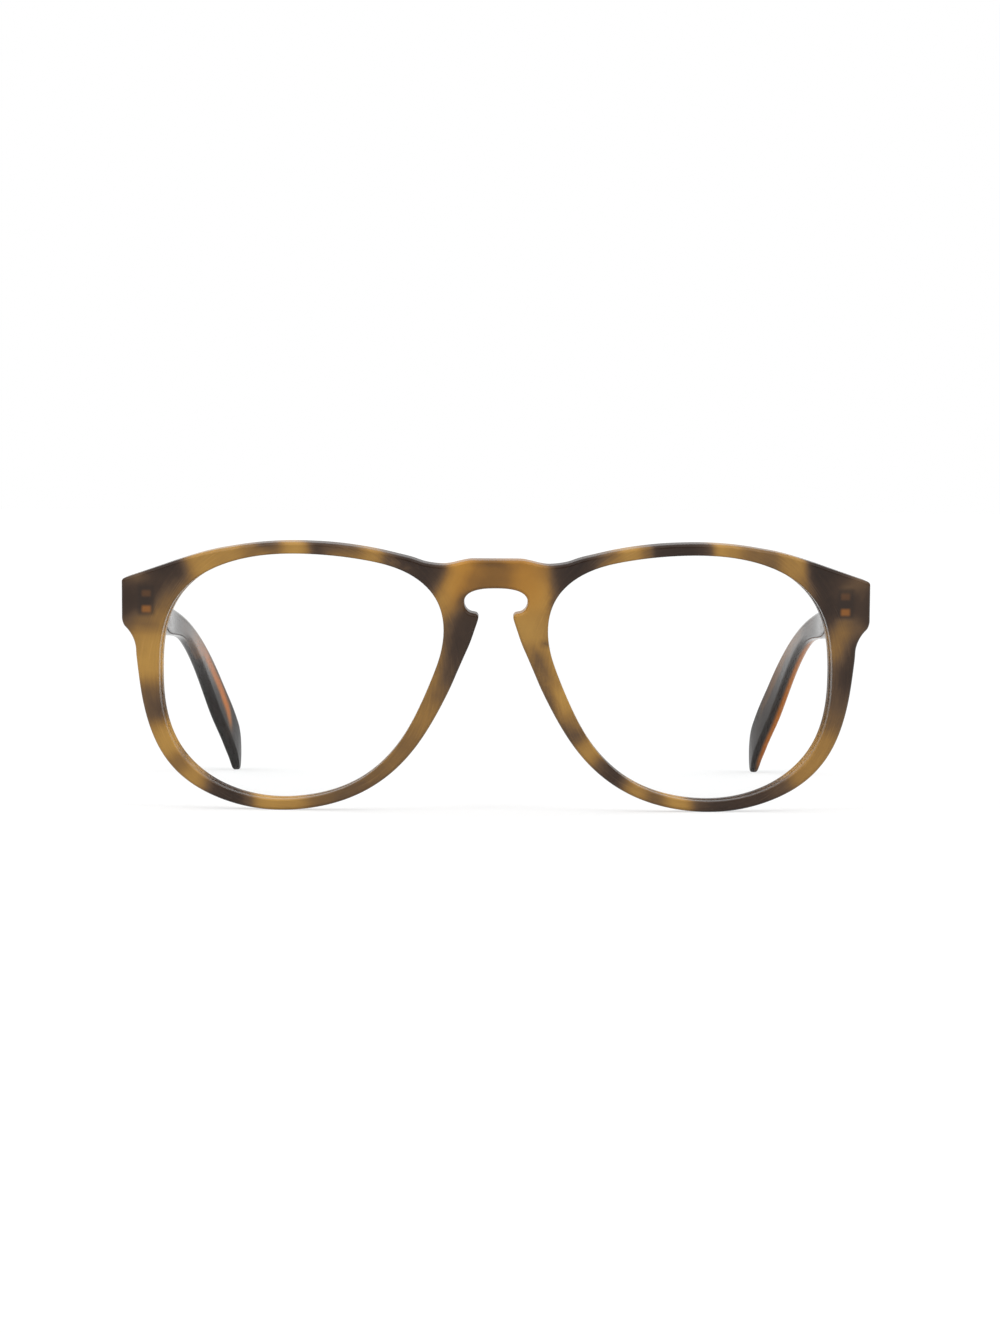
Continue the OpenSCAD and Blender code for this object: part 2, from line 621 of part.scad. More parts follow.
// The acetate front: rims, bridge and end pieces in one solid
module front_frame() {
    color(tortoise) stand() difference() {
        polyhedron(points = FRONT_PTS, faces = FRONT_FACES, convexity = 8);
        for (right = [false, true]) side(right) at_hinge() anchor_block(sunk_clear);
    }
}

// Nose pads: lofts along the nose edge, cemented to the front's back
PAD_ANGLES = [for (a = [164.5:3.5:203]) a];
n_pad = len(PAD_ANGLES);
function pad_section(i) =
    let (
        u = i / (n_pad - 1),
        h = pad_h * sqrt(max(0.02, sin(180 * (0.03 + 0.94 * u)))),
        k = min(1, (through(RIM_LOW, PAD_ANGLES[i]) - lip_r - 0.15) / (pad_w + 0.35)),
        base = front_t + cement_t,
        lean = pad_splay * h / pad_h
    )
    [
        [0.35, base], [0.35 + 0.3 * lean, front_t + 0.4 * h], [0.5 + 0.75 * lean, front_t + 0.75 * h],
        [1.0 + lean, front_t + 0.95 * h], [1.7 + lean, front_t + h],
        [pad_w - 0.3 + 0.6 * lean, front_t + 0.9 * h], [pad_w + 0.2 + 0.3 * lean, front_t + 0.6 * h],
        [pad_w + 0.35, base]
    ] * [[k, 0], [0, 1]];
n_psec = 8;
function rim_in(a) = left_of(rim_pt(RIM_LOW, a - 1), rim_pt(RIM_LOW, a + 1));
PAD_PTS = [
    for (i = [0:n_pad - 1], s = pad_section(i))
        wrap(rim_pt(RIM_LOW, PAD_ANGLES[i]) + s[0] * rim_in(PAD_ANGLES[i]), s[1])
];
function pad_q(i, k) = n_psec * i + k % n_psec;
PAD_FACES = [
    for (i = [0:n_pad - 2], k = [0:n_psec - 1])
        each quad(pad_q(i, k), pad_q(i, k + 1), pad_q(i + 1, k + 1), pad_q(i + 1, k), false),
    [for (k = [0:n_psec - 1]) pad_q(n_pad - 1, k)],
    [for (k = [n_psec - 1:-1:0]) pad_q(0, k)]
];
module nose_pad(right) {
    color(tortoise) stand() side(right) polyhedron(points = PAD_PTS, faces = PAD_FACES, convexity = 4);
}

// Lenses: a bulged sheet with a bevelled edge in the groove
LENS_RINGS = [0.35, 0.7, 1];
function lens_edge(i, out) = opening_pt(RING_A[i]) + out * opening_out(RING_A[i]);
function lens_face_pt(i, f, w) =
    let (c = [lens_cx, lens_cy])
    wrap(c + f * (lens_edge(i, -lens_clear) - c), w - lens_bulge * (1 - f * f));
LENS_PTS = [
    wrap([lens_cx, lens_cy], groove_w - lens_t / 2 - lens_bulge),
    for (f = LENS_RINGS, i = [0:n_ring - 1]) lens_face_pt(i, f, groove_w - lens_t / 2),
    for (i = [0:n_ring - 1]) wrap(lens_edge(i, groove_d - 1.5 * lens_clear), groove_w),
    for (f = [1, 0.7, 0.35], i = [0:n_ring - 1]) lens_face_pt(i, f, groove_w + lens_t / 2),
    wrap([lens_cx, lens_cy], groove_w + lens_t / 2 - lens_bulge)
];
function lens_q(k, i) = 1 + n_ring * k + i % n_ring;
LENS_FACES = [
    for (i = [0:n_ring - 1]) [0, lens_q(0, i + 1), lens_q(0, i)],
    for (k = [0:5], i = [0:n_ring - 1])
        each quad(lens_q(k, i), lens_q(k, i + 1), lens_q(k + 1, i + 1), lens_q(k + 1, i), false),
    for (i = [0:n_ring - 1]) [len(LENS_PTS) - 1, lens_q(6, i), lens_q(6, i + 1)]
];
module lens(right) {
    color(clear_lens) stand() side(right) polyhedron(points = LENS_PTS, faces = LENS_FACES, convexity = 4);
}

// The hinge half on the front: an anchor sunk in the acetate and three knuckles
module front_hinge(right) {
    color(metal) stand() side(right) at_hinge() difference() {
        union() {
            anchor_block(0);
            for (i = [0, 2, 4]) {
                knuckle(i);
                translate([anchor_x, front_t - axis_w - leaf_root, knuckle_z(i)])
                    cube([front_leaf_w, axis_w - front_t + leaf_root, knuckle_h]);
            }
        }
        hinge_bore();
    }
}

// The hinge half on the temple: a plate let into the inner face and two knuckles
module temple_hinge(right) {
    color(metal) stand() side(right) at_hinge(turned = false) difference() {
        union() {
            plate_solid(0, 0, plate_t);
            for (i = [1, 3]) {
                knuckle(i);
                translate([0, plate_start, knuckle_z(i)])
                    cube([temple_in_x - axis_x + leaf_root, temple_leaf_w, knuckle_h]);
            }
        }
        hinge_bore();
    }
}

// The slotted screw that holds the knuckles together
module hinge_screw(right) {
    color(metal) stand() side(right) at_hinge() difference() {
        union() {
            translate([0, 0, -hinge_h / 2 + screw_inset])
                cylinder(r = screw_r, h = hinge_h - screw_inset - head_h / 2);
            translate([0, 0, hinge_h / 2 - head_h]) cylinder(r = head_r, h = head_h);
        }
        translate([-head_r - 1, -slot_w / 2, hinge_h / 2 - head_h / 2]) cube([2 * head_r + 2, slot_w, 1]);
    }
}

// The acetate temple, with its channel and the recess for the plate
module temple(right) {
    color(dark_tortoise) stand() side(right) difference() {
        polyhedron(points = TEMPLE_PTS, faces = TEMPLE_FACES, convexity = 6);
        at_hinge(turned = false) plate_solid(sunk_clear, -1, 1 + plate_t + sunk_clear);
    }
}

// The core wire: a flat strip along the temple that starts just inside its front end
wire_inset = 0.5;
WIRE_PTS = [
    for (s = WIRE_STATIONS) each [
        for (c = wire_section(s, 0))
            station_pt(s, c) + (s == 0 ? wire_inset * [0, cos(panto_a), -sin(panto_a)] : [0, 0, 0])
    ]
];
WIRE_FACES = [
    for (i = [0:n_wire - 2], k = [0:3])
        each quad(4 * i + k, 4 * i + (k + 1) % 4, 4 * i + 4 + (k + 1) % 4, 4 * i + 4 + k, false),
    [3, 2, 1, 0],
    [for (k = [0:3]) 4 * (n_wire - 1) + k]
];
module core_wire(right) {
    color(metal) stand() side(right) polyhedron(points = WIRE_PTS, faces = WIRE_FACES, convexity = 4);
}

front_frame();
nose_pad(false);  // nose_pad_left
nose_pad(true);  // nose_pad_right
lens(false);  // lens_left
lens(true);  // lens_right
front_hinge(false);  // front_hinge_left
front_hinge(true);  // front_hinge_right
temple_hinge(false);  // temple_hinge_left
temple_hinge(true);  // temple_hinge_right
hinge_screw(false);  // hinge_screw_left
hinge_screw(true);  // hinge_screw_right
temple(false);  // temple_left
temple(true);  // temple_right
core_wire(false);  // core_wire_left
core_wire(true);  // core_wire_right
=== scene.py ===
"""Looks for the panto eyeglasses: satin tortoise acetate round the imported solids, in the shared frame.

The acetate pieces and the lenses are the solids' own shapes, built again with finer curves and true
normals. The metal pieces are the solids themselves, with worn edges. Sizes are millimetres here, the
same as in the part's source, and become metres in each mesh.
"""

import json
import math

import bpy
import numpy as np
from mathutils import Euler, Matrix, Vector
from mathutils.geometry import delaunay_2d_cdt
from mathutils.kdtree import KDTree


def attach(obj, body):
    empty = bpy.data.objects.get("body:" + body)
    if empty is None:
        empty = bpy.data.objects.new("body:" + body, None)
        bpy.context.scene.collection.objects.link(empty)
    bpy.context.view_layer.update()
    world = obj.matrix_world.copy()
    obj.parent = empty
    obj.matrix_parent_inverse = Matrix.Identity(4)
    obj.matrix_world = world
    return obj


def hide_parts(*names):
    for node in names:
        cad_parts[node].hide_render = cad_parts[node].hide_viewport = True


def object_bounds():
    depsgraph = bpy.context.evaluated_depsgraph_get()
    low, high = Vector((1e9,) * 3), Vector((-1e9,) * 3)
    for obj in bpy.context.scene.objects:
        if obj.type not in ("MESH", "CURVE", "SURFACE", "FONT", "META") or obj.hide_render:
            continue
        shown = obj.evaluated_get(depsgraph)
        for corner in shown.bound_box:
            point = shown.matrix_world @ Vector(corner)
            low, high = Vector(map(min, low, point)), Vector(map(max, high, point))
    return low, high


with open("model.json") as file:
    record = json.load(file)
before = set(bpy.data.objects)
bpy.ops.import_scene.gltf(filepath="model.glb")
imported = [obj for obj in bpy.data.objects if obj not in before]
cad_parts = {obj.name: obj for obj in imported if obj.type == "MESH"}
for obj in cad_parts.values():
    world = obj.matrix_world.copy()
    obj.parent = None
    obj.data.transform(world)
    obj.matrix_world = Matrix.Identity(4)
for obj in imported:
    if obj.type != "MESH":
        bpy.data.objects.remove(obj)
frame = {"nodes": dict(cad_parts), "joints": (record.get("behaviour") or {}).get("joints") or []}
cad_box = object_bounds()

MM = 0.001

# Sizes of the front
LENS_W, LENS_H, NOSE_GAP = 54.6, 47.6, 19.9
LENS_T, LENS_BULGE, GROOVE_D, LENS_CLEAR = 1.2, 1.8, 0.6, 0.08
FRONT_T, WRAP_R = 4.0, 310.0
RIM_TOP, RIM_BOTTOM, RIM_SIDE, RIM_NOSE = 2.15, 2.15, 3.9, 4.15
EDGE_R, LIP_R = 0.7, 0.35
BRIDGE_RISE, BRIDGE_H, BRIDGE_FLAT, NOTCH_X, NOTCH_DROP = 22.8, 5.4, 4.8, 10.2, 1.0
KEYHOLE_HALF, KEYHOLE_RISE, KEYHOLE_DROP, KEYHOLE_POW = 6.05, 2.8, 2.0, 2.5
NOSE_HALF, NOSE_CORNER_R = 3.3, 0.8
END_REACH, END_H, END_RISE, END_CORNER_R, END_SLOPE = 7.25, 8.8, 13.5, 0.8, 0.37
FOOT_POW, FOOT_GAP = 2.4, 0.9
# Sizes of the pads, the hinges and the temples
PAD_H, PAD_W, PAD_SPLAY, CEMENT_T = 4.6, 3.1, 1.1, 0.03
KNUCKLE_R, HINGE_H, KNUCKLE_CLEAR, LEAF_GAP = 1.5, 5.85, 0.12, 0.3
PLATE_L, PLATE_T, PLATE_START, SUNK_CLEAR = 11.0, 0.85, -1.0, 0.05
PLATE_SQUARE_LOW, PLATE_SQUARE_HIGH = 1.2, 2.4
TEMPLE_T, EAR_T = 4.0, 2.6
TEMPLE_DEEP, TEMPLE_WAIST, TEMPLE_NECK, TEMPLE_EAR = 8.0, 5.6, 4.2, 8.9
SCOOP_L, STRAIGHT_L, BEND_R, BEND_A, EAR_L = 48.5, 69.5, 108.5, 32.5, 12.5
PANTO_A, BUTT_GAP, TIP_IN, TIP_R, TIP_POW = math.radians(13.8), 0.15, 11.2, 4.0, 2.6
SIDE_STEP, TOP_STEP = 0.1, 0.15
# Sizes of the meshes' own detail
OUTLINE_STEP, FLOOR_CLEAR = 0.5, 0.01
GRID_X, GRID_Y, GRID_STEP, GRID_GAP = (-73, 73), (-1, 53), 1.1, 0.55
TEMPLE_ROWS, TIP_ROWS, TEMPLE_EDGE_R = 136, 15, 1.0
PAD_ANGLES, PAD_ROWS = (164.5, 203), 45
WORN_EDGE = 0.06


# General geometry

def ease(u):
    """A smooth step from 0 to 1 while u goes from 0 to 1."""
    c = np.clip(u, 0, 1)
    return c * c * (3 - 2 * c)


def through(knots, x):
    """A smooth curve through [place, value] knots."""
    k = np.array(knots, float)
    kx, ky, n = k[:, 0], k[:, 1], len(k)
    lo, hi = np.maximum(np.arange(n) - 1, 0), np.minimum(np.arange(n) + 1, n - 1)
    m = (ky[hi] - ky[lo]) / (kx[hi] - kx[lo])
    x = np.asarray(x, float)
    j = np.clip(np.searchsorted(kx, x, side="right") - 1, 0, n - 2)
    w = kx[j + 1] - kx[j]
    u = np.clip((x - kx[j]) / w, 0, 1)
    return (
        (1 + 2 * u) * (1 - u) ** 2 * ky[j] + u * (1 - u) ** 2 * m[j] * w
        + u * u * (3 - 2 * u) * ky[j + 1] + u * u * (u - 1) * m[j + 1] * w
    )


def unit(v):
    return v / np.maximum(np.linalg.norm(v, axis=-1, keepdims=True), 1e-12)


def left_of(d):
    """Unit vectors to the left of the directions d in a plane."""
    return unit(np.stack([-d[..., 1], d[..., 0]], -1))


def closed_spline(p, step):
    """A closed centripetal Catmull-Rom curve through the points p, at most step apart."""
    n, out = len(p), []
    for i in range(n):
        a, b, c, d = p[i - 1], p[i], p[(i + 1) % n], p[(i + 2) % n]
        t1 = math.sqrt(np.linalg.norm(b - a))
        t2 = t1 + math.sqrt(np.linalg.norm(c - b))
        t3 = t2 + math.sqrt(np.linalg.norm(d - c))
        count = max(1, math.ceil(np.linalg.norm(c - b) / step))
        for t in t1 + (t2 - t1) * np.arange(count) / count:
            a1 = (t1 - t) / t1 * a + t / t1 * b
            a2 = (t2 - t) / (t2 - t1) * b + (t - t1) / (t2 - t1) * c
            a3 = (t3 - t) / (t3 - t2) * c + (t - t2) / (t3 - t2) * d
            b1 = (t2 - t) / t2 * a1 + t / t2 * a2
            b2 = (t3 - t) / (t3 - t1) * a2 + (t - t1) / (t3 - t1) * a3
            out.append((t2 - t) / (t2 - t1) * b1 + (t - t1) / (t2 - t1) * b2)
    return np.array(out)


# The lens outline and the rim

# The lens's radii at every 30 degrees, and the controls of the closed B-spline through them
LENS_SHAPE = np.array([27.23, 27.84, 25.31, 23.61, 25.99, 30.06, 25.18, 22.78, 22.88, 23.73, 26.19, 28.09])
lens_ctl = LENS_SHAPE.copy()
for _ in range(24):
    lens_ctl = (6 * LENS_SHAPE - np.roll(lens_ctl, 1) - np.roll(lens_ctl, -1)) / 4


def shape_xy(a):
    """The unscaled lens outline at angles a, in degrees."""
    t = np.mod(a, 360) / 30
    i = np.floor(t).astype(int)
    u = t - i
    c = [lens_ctl[(i + k) % 12] for k in (-1, 0, 1, 2)]
    r = (
        (1 - u) ** 3 * c[0] + (3 * u ** 3 - 6 * u * u + 4) * c[1]
        + (1 + 3 * u + 3 * u * u - 3 * u ** 3) * c[2] + u ** 3 * c[3]
    ) / 6
    return np.stack([r * np.cos(np.radians(a)), r * np.sin(np.radians(a))], -1)


whole = shape_xy(np.arange(0.0, 360.0, 2.0))
lens_k = np.array([LENS_W, LENS_H]) / (whole.max(0) - whole.min(0))
lens_c = np.array([NOSE_GAP / 2, RIM_BOTTOM]) - lens_k * whole.min(0)


def opening(a):
    """The edge of the lens opening at angles a, in the flat plane of the front."""
    return lens_c + lens_k * shape_xy(np.asarray(a, float))


def opening_out(a):
    """Directions into the acetate from the edge of the lens opening at angles a."""
    return -left_of(opening(np.asarray(a) + 1) - opening(np.asarray(a) - 1))


# Widths of the rim at angles round the lens: below and beside it, then over it
RIM_LOW = [
    [161, 1.64 * RIM_NOSE], [173, 1.15 * RIM_NOSE], [183, RIM_NOSE], [199, 0.83 * RIM_NOSE],
    [220, 1.32 * RIM_BOTTOM], [245, 1.08 * RIM_BOTTOM], [275, RIM_BOTTOM], [300, 1.09 * RIM_BOTTOM],
    [320, 0.74 * RIM_SIDE], [341, 0.83 * RIM_SIDE], [357, 1.01 * RIM_SIDE], [366, 1.18 * RIM_SIDE],
]
RIM_HIGH = [
    [50, 1.76 * RIM_TOP], [60, 1.31 * RIM_TOP], [72, 1.09 * RIM_TOP], [89, 1.02 * RIM_TOP],
    [106, 1.06 * RIM_TOP], [117, 1.1 * RIM_TOP], [128, 1.2 * RIM_TOP], [134, 1.46 * RIM_TOP],
    [137.5, 1.66 * RIM_TOP],
]


def rim(knots, a):
    """The rim's outer edge at angles a."""
    p = opening(a)
    return p + unit(p - lens_c) * through(knots, a)[..., None]


def on_arc(centre, rx, ry, degrees):
    """Points of an ellipse's arc."""
    a = np.radians(degrees)
    return np.stack([centre[0] + rx * np.cos(a), centre[1] + ry * np.sin(a)], -1)


bridge_y = lens_c[1] + BRIDGE_RISE
keyhole_y = bridge_y - BRIDGE_H - KEYHOLE_RISE
nose_corner = np.array([NOSE_HALF + NOSE_CORNER_R, keyhole_y - KEYHOLE_DROP - NOSE_CORNER_R])
end_x = lens_c[0] + lens_k[0] * whole[:, 0].max() + END_REACH
end_y = lens_c[1] + END_RISE
end_low, end_high = end_y - END_H / 2, end_y + END_H / 2


def outline():
    """The whole front's outer edge as one closed curve, with the acetate on its left."""
    foot = rim(RIM_LOW, 366.0)
    turn = math.degrees(math.atan(1 / END_SLOPE))
    arc = np.array([end_x - END_CORNER_R, end_high - END_CORNER_R])
    shoulder = on_arc(arc, END_CORNER_R, END_CORNER_R, turn)
    u = np.array([0.2, 0.38, 0.54, 0.69, 0.82, 0.93])
    end_foot = foot + np.stack([(end_x - foot[0]) * u ** FOOT_POW, (end_low - foot[1]) * u], -1)
    x = NOTCH_X * (1 - np.arange(7) / 6)
    flat = BRIDGE_FLAT * 0.9
    top = np.stack([x, bridge_y - NOTCH_DROP * ease((x - flat) / (NOTCH_X - flat))], -1)
    t = np.radians(np.arange(80, 0, -10))
    round_top = np.stack([np.cos(t), np.sin(t)], -1) ** (2 / KEYHOLE_POW)
    flare = KEYHOLE_HALF - nose_corner[0]
    half = np.concatenate([
        [0, keyhole_y] + [KEYHOLE_HALF, KEYHOLE_RISE] * round_top,
        on_arc([nose_corner[0], keyhole_y], flare, KEYHOLE_DROP, np.arange(0, -68, -22.5)),
        on_arc(nose_corner, NOSE_CORNER_R, NOSE_CORNER_R, np.arange(90, 201, 27.5)),
        rim(RIM_LOW, np.array([164, 168, 172.5, 177.5, *np.arange(183, 366.5, 5.72)])),
        end_foot,
        [[end_x, end_low + FOOT_GAP], [end_x, end_y], [end_x, end_high - 2]],
        on_arc(arc, END_CORNER_R, END_CORNER_R, turn * np.arange(4) / 3),
        shoulder + np.outer([1.2, 3.5, 7, 10], [-1, END_SLOPE]),
        rim(RIM_HIGH, np.arange(50, 133, 5.5)),
        rim(RIM_HIGH, np.array([137.0])),
        top[:6],
    ])
    middle_low, middle_high = [[0, keyhole_y + KEYHOLE_RISE]], [[0, bridge_y]]
    edge = closed_spline(np.concatenate([middle_low, half, middle_high, half[::-1] * [-1, 1]]), OUTLINE_STEP)
    return np.clip(edge, [-end_x, FLOOR_CLEAR], [end_x, np.inf])


# From the flat plane of the front into the shared frame

fold = frame["joints"][0]
lean = math.atan2(-fold["axis"][1], fold["axis"][2])
axis_x = end_x * (WRAP_R - FRONT_T) / WRAP_R - SIDE_STEP - TEMPLE_T - LEAF_GAP - KNUCKLE_R
axis_w = FRONT_T + KNUCKLE_CLEAR + KNUCKLE_R
axis_y = WRAP_R - math.sqrt((WRAP_R - axis_w) ** 2 - axis_x ** 2)
stand_y = fold["pos_m"][1] / MM - (axis_y * math.cos(lean) - end_y * math.sin(lean))
stand_z = fold["pos_m"][2] / MM - (axis_y * math.sin(lean) + end_y * math.cos(lean))


def turn_up(v):
    """Leans directions from the upright front into the shared frame."""
    y, z, c, s = v[..., 1], v[..., 2], math.cos(lean), math.sin(lean)
    return np.stack([v[..., 0], y * c - z * s, y * s + z * c], -1)


def stand(p):
    """Leans points from the upright front into the shared frame and sets them in their place."""
    return turn_up(p) + [0, stand_y, stand_z]


def wrap(p, w):
    """The front's wrap: p is [along, up] and w the depth behind the front face."""
    s = p[..., 0] / WRAP_R
    return np.stack([(WRAP_R - w) * s, WRAP_R - (WRAP_R - w) * np.sqrt(1 - s * s), p[..., 1] + 0 * w], -1)


def wrap_normal(p, along, up, back):
    """A normal with the parts along, up and back at the place p of the wrapped front."""
    s = p[..., 0] / WRAP_R
    c = np.sqrt(1 - s * s)
    return np.stack([along * c - back * s, along * s + back * c, up + 0 * s], -1)


# Tortoise pattern: soft patches, painted on each vertex as a tone

# A patch's weight falls off by a factor exp(-FADE) for each half size from its middle; CORE rounds the peak
FADE, CORE = 1.7, 0.15
NOISE_WAVES, NOISE_PEAK, NOISE_SCALE = 7, 3.2, 9


def blur_noise(p, scale, seed):
    """A smooth, repeatable wobble of about -1 to 1 at the points p, with features of the given scale."""
    random = np.random.RandomState(seed)
    total = np.zeros(len(p))
    for _ in range(NOISE_WAVES):
        wave = unit(random.normal(size=p.shape[1])) * random.uniform(0.5, 1.4) * 2 * math.pi / scale
        total += np.sin(p @ wave + random.uniform(0, 2 * math.pi))
    return total / NOISE_PEAK


def patch_tone(p, patches, base, pull, wobble, seed):
    """Blends the tones of soft patches at the points p.

    A patch is an ellipse: [x, y, half width, half height, tilt, tone]. base is the tone far from all
    patches, and pull its weight. wobble is how far the patches' shapes wander.
    """
    wander = [blur_noise(p, NOISE_SCALE, seed), blur_noise(p, NOISE_SCALE, seed + 1)]
    q = p[:, :2] + wobble * np.stack(wander, -1)
    weight, total = np.full(len(p), pull), np.full(len(p), pull * base)
    for x, y, rx, ry, tilt, tone in patches:
        c, s = math.cos(math.radians(tilt)), math.sin(math.radians(tilt))
        dx, dy = q[:, 0] - x, q[:, 1] - y
        d2 = ((dx * c + dy * s) / rx) ** 2 + ((dy * c - dx * s) / ry) ** 2
        w = np.exp(-FADE * np.sqrt(d2 + CORE))
        weight += w
        total += w * tone
    return total / weight


